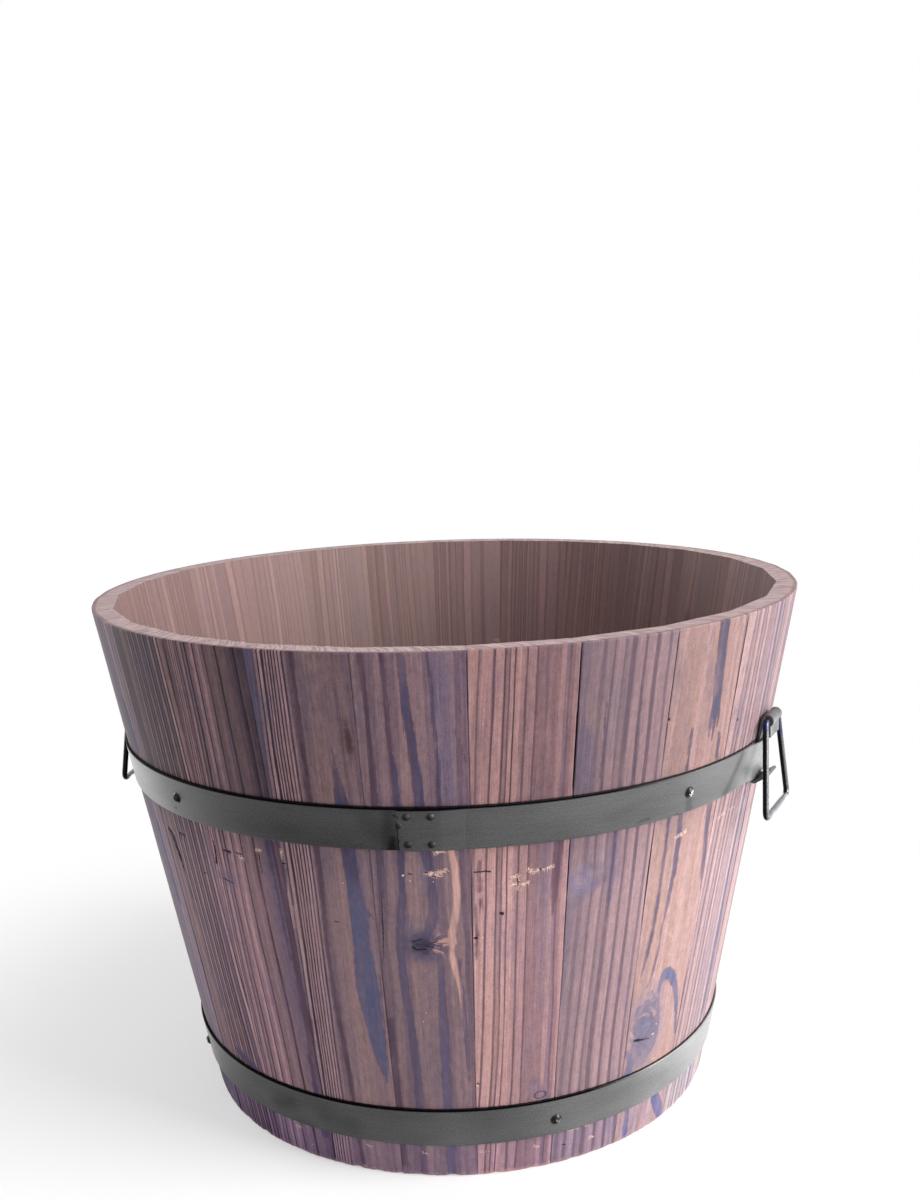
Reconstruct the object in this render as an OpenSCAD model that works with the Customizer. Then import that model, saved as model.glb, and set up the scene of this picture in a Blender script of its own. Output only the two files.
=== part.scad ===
// Wooden barrel planter: tapered staves, two riveted steel hoops, a boarded bottom in a croze
// and two hanging bail handles. Millimetres, +Z up, origin at the centre of the foot.
// Azimuths are degrees round the barrel, 0 at the front (-Y), growing towards +X.

/* [Barrel] */
// Outside diameter at the rim
rim_d = 500; // [440:5:560]
// Outside diameter at the foot
foot_d = 367.5; // [330:2.5:410]
// Height from the floor to the rim
barrel_h = 356; // [340:2:420]
// Number of staves
stave_count = 24; // [22:1:28]
// Azimuth of the joint nearest the front
first_joint_az = 5; // [0:0.5:15]

/* [Staves] */
// Thickness of a stave at its middle
stave_t = 16; // [14:0.5:20]
// Air left in the joint between two staves
joint_gap = 0.3; // [0.2:0.05:0.6]
// Depth of the V worked along both sides of a joint
joint_v = 0.8; // [0.4:0.1:1.2]
// Bevel on the outer edges of the rim and the foot
edge_bevel = 1; // [0.5:0.1:2]

/* [Bottom] */
// Height of the underside of the bottom boards
bottom_z = 24; // [18:1:32]
// Thickness of the bottom boards
board_t = 14; // [12:0.5:18]
// Number of bottom boards
board_count = 5; // [3:2:7]
// Air left between two bottom boards
board_gap = 0.5; // [0.3:0.1:1]
// Depth of the croze, the groove that holds the boards
croze_depth = 5; // [4:0.5:6]
// Room for the boards in the croze
croze_room = 0.3; // [0.2:0.1:0.6]
// Diameter of the drain hole
drain_d = 18; // [12:1:24]
// Diameter of the dowels between the boards
dowel_d = 6; // [5:0.5:7]
// Length of a dowel
dowel_len = 28; // [22:1:34]
// Distance of the dowels from the middle of the boards
dowel_reach = 85; // [70:1:95]
// Room round a dowel
dowel_room = 0.1; // [0.05:0.05:0.3]

/* [Hoops] */
// Height of the middle of the upper hoop
upper_hoop_z = 248.5; // [235:0.5:256]
// Height of the middle of the lower hoop
lower_hoop_z = 38.5; // [34:0.5:60]
// Width of the hoop strip
hoop_w = 27; // [24:0.5:30]
// Thickness of the hoop strip
hoop_t = 1.3; // [1:0.1:1.8]
// Room between a hoop and the staves
hoop_room = 0.2; // [0.1:0.05:0.4]
// Azimuth of the visible end of the upper hoop's lap
upper_lap_az = 9.7; // [0:0.1:30]
// Azimuth of the visible end of the lower hoop's lap
lower_lap_az = 172; // [160:0.5:200]
// Length over which a lap settles back onto the strip
lap_ramp = 15; // [12:0.5:20]

/* [Rivets] */
// Diameter of a rivet's head
rivet_head_d = 4.6; // [4:0.1:6]
// Height of a rivet's head
rivet_head_h = 1.4; // [1:0.1:1.8]
// Diameter of a rivet's shank
rivet_d = 2.6; // [2.2:0.1:3.2]
// Distance from the end of the strip to the first rivets
rivet_edge = 5.3; // [4.5:0.1:7]
// Distance along the hoop between rivets
rivet_pitch = 13.7; // [12:0.1:16]
// Distance across the hoop between rivets
rivet_rows = 18; // [15:0.5:19]

/* [Hoop screws] */
// Azimuths of the upper hoop's screws
upper_screw_az = [-30.7, 56.3, 147, -121.5]; // [-180:0.1:180]
// Azimuths of the lower hoop's screws
lower_screw_az = [-53.6, 35.4, 127, -143]; // [-180:0.1:180]
// Height of the lower screws above the middle of their hoop
lower_screw_rise = -2; // [-5:0.5:5]
// Diameter of a screw's pan head
screw_head_d = 7; // [6:0.1:8]
// Height of a screw's pan head
screw_head_h = 2.1; // [1.8:0.1:2.6]
// Diameter of a screw's shank
screw_d = 3.4; // [3:0.1:4]
// Room round a screw's shank
screw_room = 0.1; // [0.05:0.05:0.3]

/* [Handles] */
// Azimuth of each handle, to the right and to the left of the front
handle_az = 80; // [70:1:95]
// Diameter of the handle rod
rod_d = 4; // [3.5:0.1:4.5]
// Height of the pivot of a handle
pivot_z = 275; // [272:0.5:286]
// Distance between the centre lines of a handle's legs at the pivot
bail_top_w = 32; // [30:0.5:36]
// Distance between the centre lines of a handle's legs at the grip
bail_grip_w = 59; // [50:1:75]
// Drop from the pivot to the middle of the grip
bail_drop = 61; // [50:1:66]
// Bend radius of the rod, at its centre line
bail_bend = 4; // [3.5:0.1:5]
// Angle by which a handle stands out from plumb, held by friction in its eye
hang_out = 3.5; // [0:0.5:10]

/* [Handle brackets] */
// Width of the bracket strap
strap_w = 23; // [20:0.5:24]
// Thickness of the bracket strap
strap_t = 1.8; // [1.5:0.1:2.2]
// Room between the strap and what lies against it
strap_room = 0.2; // [0.1:0.05:0.3]
// How far the strap cranks outward above the hoop
crank = 0.3; // [0.1:0.1:3]
// Room round the rod in its eye
eye_room = 0.3; // [0.2:0.05:0.5]
// Length of the hooked lip under the hoop
lip_len = 9.8; // [7:0.1:12]
// Angle by which the lip turns up from square to the wall
lip_turn = 42; // [20:1:45]
// Inside bend radius of the strap
strap_bend = 1; // [0.8:0.1:1.5]
// Length of the flared end of the strap below the eye
flare_len = 8.5; // [6:0.5:9]
// Length over which the hoop rises to pass over a strap
saddle_ramp = 12; // [10:0.5:16]

/* [Hidden] */
$fn = 48;
OVERLAP = 0.02;
BEYOND = 60;
BEND_THINNING = 0.03;
BEND_RUN_ON = 3;

rim_r = rim_d / 2;
foot_r = foot_d / 2;
wall_tilt = atan((rim_r - foot_r) / barrel_h);

// Radius of the outside of the wall at a height
function wall_r(z) = foot_r + (rim_r - foot_r) * z / barrel_h;

// Distance up the slope of the wall at a height, for a point that stands out from the wall
function slope_at(z, out = 0) = (z + out * sin(wall_tilt)) / cos(wall_tilt);

// Radius and height of a point that stands out from the wall, at a distance up the slope
function wall_point(out, slope) =
    [foot_r + slope * sin(wall_tilt) + out * cos(wall_tilt), slope * cos(wall_tilt) - out * sin(wall_tilt)];

stave_pitch = 360 / stave_count;
joint_angle = 2 * asin(joint_gap / (rim_r + foot_r));
stave_angle = stave_pitch - joint_angle;

// Azimuth of the middle of a stave, counted from the joint nearest the front
function stave_az(i) = first_joint_az + stave_pitch * (i - 0.5);

croze_h = board_t + croze_room;
croze_r = wall_r(bottom_z) - (stave_t - croze_depth) / cos(wall_tilt);
board_r = croze_r - croze_room;
board_pitch = 2 * board_r / board_count;

// Distance of the middle of a bottom board from the axis
function board_y(i) = board_pitch * (i - (board_count + 1) / 2);

lap_len = 2 * rivet_edge + rivet_pitch;
screw_reach = stave_t - croze_depth - 1.5;
screw_len = hoop_room + hoop_t + screw_reach;
screw_tip = screw_d;
screw_slot_w = 1;
screw_slot_len = 0.62 * screw_head_d;

// Degrees round the barrel for a distance along the hoop at a height
function arc_deg(len, z) = len / wall_r(z) * 180 / PI;

rod_r = rod_d / 2;
eye_r = rod_r + eye_room;
strap_front = strap_room + strap_t;
eye_out = strap_front + crank + eye_r;
eye_slope = slope_at(pivot_z, eye_out);
pivot_r = wall_point(eye_out, eye_slope)[0];
bail_splay = atan((bail_grip_w - bail_top_w) / 2 / bail_drop);
saddle_half = strap_w / 2 + 1;

upper_slope = slope_at(upper_hoop_z);
upper_edge_low = upper_slope - hoop_w / 2;
upper_edge_high = upper_slope + hoop_w / 2;
lower_slope = slope_at(lower_hoop_z);
lower_screw_slope = lower_slope + lower_screw_rise;

WOOD_SHADES = [[0.50, 0.40, 0.38], [0.45, 0.36, 0.36], [0.54, 0.43, 0.39]];
BOARD_WOOD = [0.46, 0.37, 0.33];
DOWEL_WOOD = [0.72, 0.58, 0.42];
HOOP_STEEL = [0.33, 0.35, 0.34];
RIVET_STEEL = [0.38, 0.40, 0.39];
SCREW_STEEL = [0.16, 0.16, 0.17];
ROD_STEEL = [0.09, 0.09, 0.11];

function two_digits(i) = str(i < 10 ? "0" : "", i);
function stave_name(i) = str("stave_", two_digits(i));
function board_name(i) = str("bottom_board_", i);

// Children drawn at the front (-Y) of the barrel turn to an azimuth
module at_azimuth(az) {
    rotate([0, 0, az]) children();
}

// Children stand in the wall's own frame: X along the hoop, -Y out of the wall, Z up its slope
module on_wall(az) {
    at_azimuth(az) translate([0, -foot_r, 0]) rotate([wall_tilt, 0, 0]) children();
}

// A flat profile (out of the wall, up the slope) becomes a strip of a width along the hoop
module strip_across(width) {
    rotate([90, 0, -90]) linear_extrude(width, center = true) children();
}

// Round holes and shanks square to the wall
module wall_rod(az, slope, out_low, out_high, d) {
    on_wall(az)
        translate([0, -out_low, slope])
            rotate([90, 0, 0])
                cylinder(d = d, h = out_high - out_low);
}

// Revolved strip of hoop between two distances out of the wall
module hoop_arc(slope, out_low, out_high, from_az, angle) {
    low = slope - hoop_w / 2;
    high = slope + hoop_w / 2;
    at_azimuth(from_az - 90)
        rotate_extrude(angle = angle, $fn = 144)
            polygon([
                wall_point(out_low, low),
                wall_point(out_high, low),
                wall_point(out_high, high),
                wall_point(out_low, high)
            ]);
}

// ---- staves ----

// Stave blank between two joint planes, turned round on its outside
module stave_blank(az) {
    inner = foot_r - stave_t - 6;
    at_azimuth(az - 90 - stave_angle / 2)
        rotate_extrude(angle = stave_angle, $fn = 144)
            polygon([
                [inner, 0],
                [foot_r - edge_bevel, 0],
                [wall_r(edge_bevel), edge_bevel],
                [wall_r(barrel_h - edge_bevel), barrel_h - edge_bevel],
                [rim_r - edge_bevel, barrel_h],
                [rim_r - stave_t - 6, barrel_h]
            ]);
}

// Everything behind the flat inner face of a stave
module stave_inner_cut(az) {
    on_wall(az)
        translate([-BEYOND, stave_t, -BEYOND])
            cube([2 * BEYOND, BEYOND, barrel_h + 3 * BEYOND]);
}

// Square bar laid on edge along a joint, which cuts the V
module joint_cut(az) {
    side = joint_v * sqrt(2);
    on_wall(az)
        rotate([0, 0, 45])
            translate([-side / 2, -side / 2, -BEYOND])
                cube([side, side, barrel_h + 3 * BEYOND]);
}

module croze_cut() {
    translate([0, 0, bottom_z])
        cylinder(r = croze_r, h = croze_h, $fn = 144);
}

// True where a screw's hole comes near a stave
function near_stave(az, i) =
    let (turn = (az - stave_az(i) + 900) % 360 - 180)
    abs(turn) < stave_pitch / 2 + 2;

module pilot_holes(i) {
    for (az = upper_screw_az)
        if (near_stave(az, i))
            wall_rod(az, upper_slope, -screw_reach - 0.5, 1, screw_d + 2 * screw_room);
    for (az = lower_screw_az)
        if (near_stave(az, i))
            wall_rod(az, lower_screw_slope, -screw_reach - 0.5, 1, screw_d + 2 * screw_room);
}

module stave(i) {
    az = stave_az(i);
    color(WOOD_SHADES[i % 3])
        difference() {
            stave_blank(az);
            stave_inner_cut(az);
            croze_cut();
            joint_cut(az - stave_pitch / 2);
            joint_cut(az + stave_pitch / 2);
            pilot_holes(i);
        }
}

// ---- bottom ----

module dowel_row(y, reach_add, d) {
    for (side = [-1, 1])
        translate([side * dowel_reach, y, bottom_z + board_t / 2])
            rotate([90, 0, 0])
                cylinder(d = d, h = dowel_len + 2 * reach_add, center = true);
}

module bottom_board(i) {
    y = board_y(i);
    half = (board_pitch - board_gap) / 2;
    color(BOARD_WOOD)
        difference() {
            intersection() {
                translate([0, 0, bottom_z])
                    cylinder(r = board_r, h = board_t, $fn = 144);
                translate([-board_r - 1, y - half, bottom_z - 1])
                    cube([2 * board_r + 2, 2 * half, board_t + 2]);
            }
            if (i == (board_count + 1) / 2)
                translate([0, 0, bottom_z - 1])
                    cylinder(d = drain_d, h = board_t + 2);
            if (i > 1)
                dowel_row(y - board_pitch / 2, 0.5, dowel_d + 2 * dowel_room);
            if (i < board_count)
                dowel_row(y + board_pitch / 2, 0.5, dowel_d + 2 * dowel_room);
        }
}

module bottom_dowels() {
    color(DOWEL_WOOD)
        for (i = [1:board_count - 1])
            dowel_row(board_y(i) + board_pitch / 2, 0, dowel_d);
}

// ---- hoops ----

// Outer end of the strip, which lies over its inner end and settles back onto it
module hoop_lap(slope, z, lap_az) {
    lap_deg = arc_deg(lap_len, z);
    ramp_deg = arc_deg(lap_ramp, z);
    top = hoop_room + 2 * hoop_t;
    fall = atan(1.15 * hoop_t / lap_ramp + lap_ramp / 2 / wall_r(z));
    difference() {
        hoop_arc(slope, hoop_room + hoop_t / 2, top, lap_az, lap_deg + ramp_deg);
        on_wall(lap_az + lap_deg)
            translate([0, -top, slope])
                rotate([0, 0, fall])
                    translate([-3 * lap_ramp, -10, -hoop_w])
                        cube([6 * lap_ramp, 10, 2 * hoop_w]);
    }
}

// Where the strip's inside lies beside a strap, measured from the flat of that strap
function saddle_fall(x) = hoop_room - x * x / 2 / wall_r(upper_hoop_z);

// Part of the upper hoop that is pressed outward to pass over a strap. Its flat stretches are
// drawn too wide and trimmed to the strip's own conical edges.
module hoop_saddle(az) {
    foot = saddle_half + saddle_ramp;
    under = strap_front + strap_room;
    over = under + hoop_t;
    buried_low = saddle_fall(foot) + 0.25 * hoop_t;
    buried_high = saddle_fall(foot) + 0.75 * hoop_t;
    half_deg = arc_deg(foot, upper_hoop_z) + 2;
    intersection() {
        hoop_arc(upper_slope, -2, 8, az - half_deg, 2 * half_deg);
        on_wall(az)
            translate([0, 0, upper_slope])
                linear_extrude(hoop_w + 4, center = true)
                    polygon([
                        [-foot, -buried_low],
                        [-saddle_half, -under],
                        [saddle_half, -under],
                        [foot, -buried_low],
                        [foot, -buried_high],
                        [saddle_half, -over],
                        [-saddle_half, -over],
                        [-foot, -buried_high]
                    ]);
    }
}

// Stretch of the plain strip that a saddle takes the place of
module saddle_window(az) {
    half = saddle_half + saddle_ramp - 2;
    on_wall(az)
        translate([-half, -5, upper_edge_low - 3])
            cube([2 * half, 10, hoop_w + 6]);
}

// Holes for the four rivets of a lap
module lap_rivet_places(lap_az, slope, z) {
    for (along = [rivet_edge, rivet_edge + rivet_pitch])
        for (side = [-1, 1])
            on_wall(lap_az + arc_deg(along, z))
                translate([0, 0, slope + side * rivet_rows / 2])
                    rotate([90, 0, 0]) children();
}

module lap_rivet_holes(lap_az, slope, z) {
    lap_rivet_places(lap_az, slope, z)
        cylinder(d = rivet_d + 0.2, h = 3 * hoop_t + 2, center = true);
}

module upper_hoop() {
    color(HOOP_STEEL)
        difference() {
            union() {
                difference() {
                    hoop_arc(upper_slope, hoop_room, hoop_room + hoop_t, 0, 360);
                    saddle_window(handle_az);
                    saddle_window(-handle_az);
                }
                hoop_lap(upper_slope, upper_hoop_z, upper_lap_az);
                hoop_saddle(handle_az);
                hoop_saddle(-handle_az);
            }
            lap_rivet_holes(upper_lap_az, upper_slope, upper_hoop_z);
            for (az = upper_screw_az)
                wall_rod(az, upper_slope, -1, hoop_t + 2, screw_d + 2 * screw_room);
        }
}

module lower_hoop() {
    color(HOOP_STEEL)
        difference() {
            union() {
                hoop_arc(lower_slope, hoop_room, hoop_room + hoop_t, 0, 360);
                hoop_lap(lower_slope, lower_hoop_z, lower_lap_az);
            }
            lap_rivet_holes(lower_lap_az, lower_slope, lower_hoop_z);
            for (az = lower_screw_az)
                wall_rod(az, lower_screw_slope, -1, hoop_t + 2, screw_d + 2 * screw_room);
        }
}

// ---- fasteners ----

// Low dome with a flat underside at Z = 0
module dome(d, h) {
    ball_r = (d * d / 4 + h * h) / 2 / h;
    intersection() {
        translate([0, 0, h - ball_r])
            sphere(r = ball_r);
        cylinder(d = d + 2, h = h + 1);
    }
}

// Domed rivet through both layers of a lap, its shank flush with the inside of the hoop
module lap_rivet() {
    translate([0, 0, hoop_room])
        cylinder(d = rivet_d, h = 2 * hoop_t + OVERLAP);
    translate([0, 0, hoop_room + 2 * hoop_t])
        dome(rivet_head_d, rivet_head_h);
}

module upper_hoop_rivets() {
    color(RIVET_STEEL)
        lap_rivet_places(upper_lap_az, upper_slope, upper_hoop_z) lap_rivet();
}

module lower_hoop_rivets() {
    color(RIVET_STEEL)
        lap_rivet_places(lower_lap_az, lower_slope, lower_hoop_z) lap_rivet();
}

// Pan-head screw with a cross recess, pointing into the stave
module hoop_screw(az, slope) {
    seat = hoop_room + hoop_t;
    on_wall(az)
        translate([0, -seat, slope])
            rotate([90, 0, 0]) {
                difference() {
                    dome(screw_head_d, screw_head_h);
                    for (turn = [20, 110])
                        rotate([0, 0, turn])
                            translate([-screw_slot_len / 2, -screw_slot_w / 2, screw_head_h / 3])
                                cube([screw_slot_len, screw_slot_w, screw_head_h]);
                }
                translate([0, 0, -screw_len + screw_tip])
                    cylinder(d = screw_d, h = screw_len - screw_tip + OVERLAP);
                translate([0, 0, -screw_len])
                    cylinder(d1 = 0.6, d2 = screw_d, h = screw_tip + OVERLAP);
            }
}

module upper_hoop_screws() {
    color(SCREW_STEEL)
        for (az = upper_screw_az)
            hoop_screw(az, upper_slope);
}

module lower_hoop_screws() {
    color(SCREW_STEEL)
        for (az = lower_screw_az)
            hoop_screw(az, lower_screw_slope);
}

// ---- handle brackets ----

// Flat band bent round the origin from one angle to another
module bent_band(inner_r, thick, from, to) {
    reach = 3 * (inner_r + thick);
    step = (to - from) / 4;
    intersection() {
        difference() {
            circle(r = inner_r + thick);
            circle(r = inner_r);
        }
        polygon(concat([[0, 0]], [for (k = [0:4]) reach * [cos(from + k * step), sin(from + k * step)]]));
    }
}

// Side view of the strap: hooked lip, leg behind the hoop, crank, eye and flared end
module strap_profile() {
    hook = [strap_front + strap_bend, upper_edge_low - strap_room];
    crank_from = upper_edge_high + 0.5;
    crank_to = crank_from + 4;
    upper_front = strap_front + crank;
    translate(hook) {
        bent_band(strap_bend, strap_t, 180, 270 + lip_turn);
        rotate(lip_turn)
            translate([-OVERLAP, -strap_bend - strap_t])
                square([lip_len, strap_t]);
    }
    translate([strap_room, hook[1] - OVERLAP])
        square([strap_t, crank_from - hook[1] + 2 * OVERLAP]);
    polygon([
        [strap_room, crank_from],
        [strap_front, crank_from],
        [upper_front, crank_to],
        [upper_front - strap_t, crank_to]
    ]);
    translate([upper_front - strap_t, crank_to - OVERLAP])
        square([strap_t, eye_slope - crank_to + 2 * OVERLAP]);
    translate([eye_out, eye_slope]) {
        bent_band(eye_r, strap_t, -70, 180);
        polygon([
            eye_r * [cos(-70), sin(-70)],
            [eye_r * cos(-70) + 0.19 * flare_len, -eye_r - flare_len],
            [eye_r * cos(-70) + 0.19 * flare_len + strap_t * 0.95, -eye_r - flare_len + 0.3],
            (eye_r + strap_t) * [cos(-50), sin(-50)]
        ]);
    }
}

module handle_bracket(az) {
    color(HOOP_STEEL)
        on_wall(az)
            strip_across(strap_w)
                strap_profile();
}

// ---- handles ----

// Straight stretch of the rod between two points of the handle's plane
module rod_between(from, to) {
    run = to - from;
    translate([from[0], 0, from[1]])
        rotate([0, atan2(run[0], run[1]), 0])
            cylinder(d = rod_d, h = norm(run));
}

// Bend of the rod about a centre, between two angles of the handle's plane. Bending draws the
// rod a hair thinner, and the bend runs a few degrees into the straight stretches beside it.
module rod_bend(centre, from, angle) {
    translate([centre[0], 0, centre[1]])
        rotate([90, 0, 0])
            rotate([0, 0, from - BEND_RUN_ON])
                rotate_extrude(angle = angle + 2 * BEND_RUN_ON)
                    translate([bail_bend, 0])
                        circle(r = rod_r - BEND_THINNING);
}

// Closed loop of rod, straight down from its pivot
module bail() {
    half_top = bail_top_w / 2;
    half_grip = bail_grip_w / 2;
    leg = [sin(bail_splay), -cos(bail_splay)];
    top_turn = 90 - bail_splay;
    grip_turn = 90 + bail_splay;
    top_cut = bail_bend * tan(top_turn / 2);
    grip_cut = bail_bend * tan(grip_turn / 2);
    top_x = half_top - top_cut;
    grip_x = half_grip - grip_cut;
    leg_from = [half_top, 0] + top_cut * leg;
    leg_to = [half_grip, -bail_drop] - grip_cut * leg;
    rod_between([-top_x, 0], [top_x, 0]);
    rod_between([-grip_x, -bail_drop], [grip_x, -bail_drop]);
    for (side = [0, 1])
        mirror([side, 0, 0]) {
            rod_between(leg_from, leg_to);
            rod_bend([top_x, -bail_bend], bail_splay, top_turn);
            rod_bend([grip_x, -bail_drop + bail_bend], -90, grip_turn);
        }
}

module handle(az) {
    color(ROD_STEEL)
        at_azimuth(az)
            translate([0, -pivot_r, pivot_z])
                rotate([-hang_out, 0, 0])
                    bail();
}

// ---- drawing ----

for (i = [1:stave_count])
    stave(i);
for (i = [1:board_count])
    bottom_board(i);
bottom_dowels();
upper_hoop();
lower_hoop();
upper_hoop_rivets();
lower_hoop_rivets();
upper_hoop_screws();
lower_hoop_screws();
handle_bracket(handle_az);  // handle_bracket_right
handle_bracket(-handle_az);  // handle_bracket_left
handle(handle_az);  // handle_right
handle(-handle_az);  // handle_left
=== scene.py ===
import math
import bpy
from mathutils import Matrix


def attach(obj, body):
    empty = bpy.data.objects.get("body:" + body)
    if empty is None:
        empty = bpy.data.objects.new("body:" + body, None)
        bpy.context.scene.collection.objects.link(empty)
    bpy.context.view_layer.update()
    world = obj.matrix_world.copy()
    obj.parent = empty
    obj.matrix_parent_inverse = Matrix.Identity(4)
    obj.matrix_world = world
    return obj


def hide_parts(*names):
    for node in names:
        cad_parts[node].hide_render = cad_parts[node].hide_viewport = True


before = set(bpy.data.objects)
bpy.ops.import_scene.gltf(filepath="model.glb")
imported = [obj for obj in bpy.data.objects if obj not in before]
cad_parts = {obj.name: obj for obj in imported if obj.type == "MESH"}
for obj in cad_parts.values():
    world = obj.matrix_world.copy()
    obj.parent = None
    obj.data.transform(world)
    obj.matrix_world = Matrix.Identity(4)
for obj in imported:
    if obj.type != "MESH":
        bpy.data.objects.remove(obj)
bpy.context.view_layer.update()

from types import SimpleNamespace

import bpy
import numpy as np
from mathutils import Matrix, Vector

# Everything below is in millimetres and degrees, and turned into metres when a mesh is made.
# Azimuth is 0 at the front (-Y) and grows towards +X.

# ---------------------------------------------------------------- sizes of the barrel

RIM_R, FOOT_R, HEIGHT = 250.0, 183.75, 356.0
TILT = math.atan((RIM_R - FOOT_R) / HEIGHT)
STAVES, FIRST_JOINT = 24, 5.0
PITCH = 360.0 / STAVES
HALF_STAVE = PITCH / 2 - 0.005
WOOD_T = 16.0
STAVE_T = WOOD_T / math.cos(TILT)
CROZE_LOW, CROZE_HIGH, CROZE_R = 24.0, 38.3, 177.03

# Hoops: middle heights, heights of their upper edges, room behind them and their thickness.
UPPER_Z, LOWER_Z = 248.5, 38.5
HOOP_TOPS = (262.0, 51.8)
HOOP_ROOM, HOOP_T = 0.2, 1.3

# Azimuths of their laps, length of a lap and of the ramp at its end.
UPPER_LAP, LOWER_LAP = 9.7, 172.0
LAP_LEN, LAP_RAMP = 24.3, 15.0

# Azimuth of the handles, and the saddles pressed out of the upper hoop over their straps.
HANDLE_AZ = 80.0
SADDLE_OFF, SADDLE_FLAT, SADDLE_END, SADDLE_RAMP = 2.2, 12.5, 24.5, 12.0

# Handles, in metres: height of the grip, half length of its paintless part, where the dark blue of a painted
# bluish sheen sets in.
GRIP_Z, GRIP_HALF, BLUE_SHEEN_Z = 0.214, 0.0245, 0.261

# Azimuths of the screws with a painted glint: a bright patch of steel on each head.
UPPER_GLINT_SCREWS, LOWER_GLINT_SCREWS = (56.3, 147.0), (35.4, -143.0)

WHITE = (1.0, 1.0, 1.0, 1.0)


def wall_r(z):
    return FOOT_R + (RIM_R - FOOT_R) * z / HEIGHT


def wrapped(az):
    """Azimuth between -180 and 180."""
    return (az + 180.0) % 360.0 - 180.0


def stave_az(i):
    """Azimuth of the middle of a stave."""
    return wrapped(FIRST_JOINT + PITCH * (i - 0.5))


def polar(az, r, z):
    """Points at azimuths, radii and heights."""
    return np.stack([r * np.sin(np.radians(az)), -r * np.cos(np.radians(az)), z], -1)


def srgb(r, g, b):
    """Linear colour of a colour given as it looks, 0 to 255."""
    def lin(c):
        c /= 255.0
        return c / 12.92 if c <= 0.04045 else ((c + 0.055) / 1.055) ** 2.4
    return (lin(r), lin(g), lin(b), 1.0)


def grey(v):
    return (v, v, v, 1.0)


def scaled(colour, gain):
    """A colour with its first three numbers times a gain."""
    return tuple(gain * c for c in colour[:3]) + tuple(colour[3:])


def tinted(colour, tint):
    """A colour times three gains."""
    return tuple(c * t for c, t in zip(colour, tint)) + (1.0,)


def swing(noise, size):
    """Noise between 0 and 1, turned into a swing about zero."""
    return (noise - 0.5) * size


# ---------------------------------------------------------------- camera

def make_camera():
    """Camera at the photograph's place: 17.6 degrees to the right of the front."""
    turn, yaw, pitch, roll = (math.radians(a) for a in (17.6, 0.639, 9.618, 1.887))
    distance, height = 0.9491, 0.5024
    fwd = np.array([math.sin(yaw) * math.cos(pitch), math.cos(yaw) * math.cos(pitch), -math.sin(pitch)])
    right = np.array([math.cos(yaw), -math.sin(yaw), 0.0])
    up = np.cross(right, fwd)
    cam_x = math.cos(roll) * right - math.sin(roll) * up
    cam_y = math.sin(roll) * right + math.cos(roll) * up
    cos, sin = math.cos(turn), math.sin(turn)
    rot = np.array([[cos, -sin, 0], [sin, cos, 0], [0, 0, 1]])
    columns = [rot @ v for v in (cam_x, cam_y, -fwd, np.array([0, -distance, height]))]
    data = bpy.data.cameras.new("camera")
    data.sensor_width = 36.0
    data.lens = 39.41
    cam = bpy.data.objects.new("camera", data)
    bpy.context.scene.collection.objects.link(cam)
    cam.matrix_world = Matrix([[column[row] for column in columns] for row in range(3)] + [[0, 0, 0, 1]])
    bpy.context.scene.camera = cam


make_camera()

# ---------------------------------------------------------------- node helpers

class Value:
    """A number worked out by nodes; sums and products of it make further nodes."""

    def __init__(self, nodes, socket):
        self.nodes, self.socket = nodes, socket

    def __add__(self, other):
        return self.nodes.math("ADD", self, other)

    def __sub__(self, other):
        return self.nodes.math("SUBTRACT", self, other)

    def __rsub__(self, other):
        return self.nodes.math("SUBTRACT", other, self)

    def __mul__(self, other):
        return self.nodes.math("MULTIPLY", self, other)

    def __truediv__(self, other):
        return self.nodes.math("DIVIDE", self, other)

    def __abs__(self):
        return self.nodes.math("ABSOLUTE", self)


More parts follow.
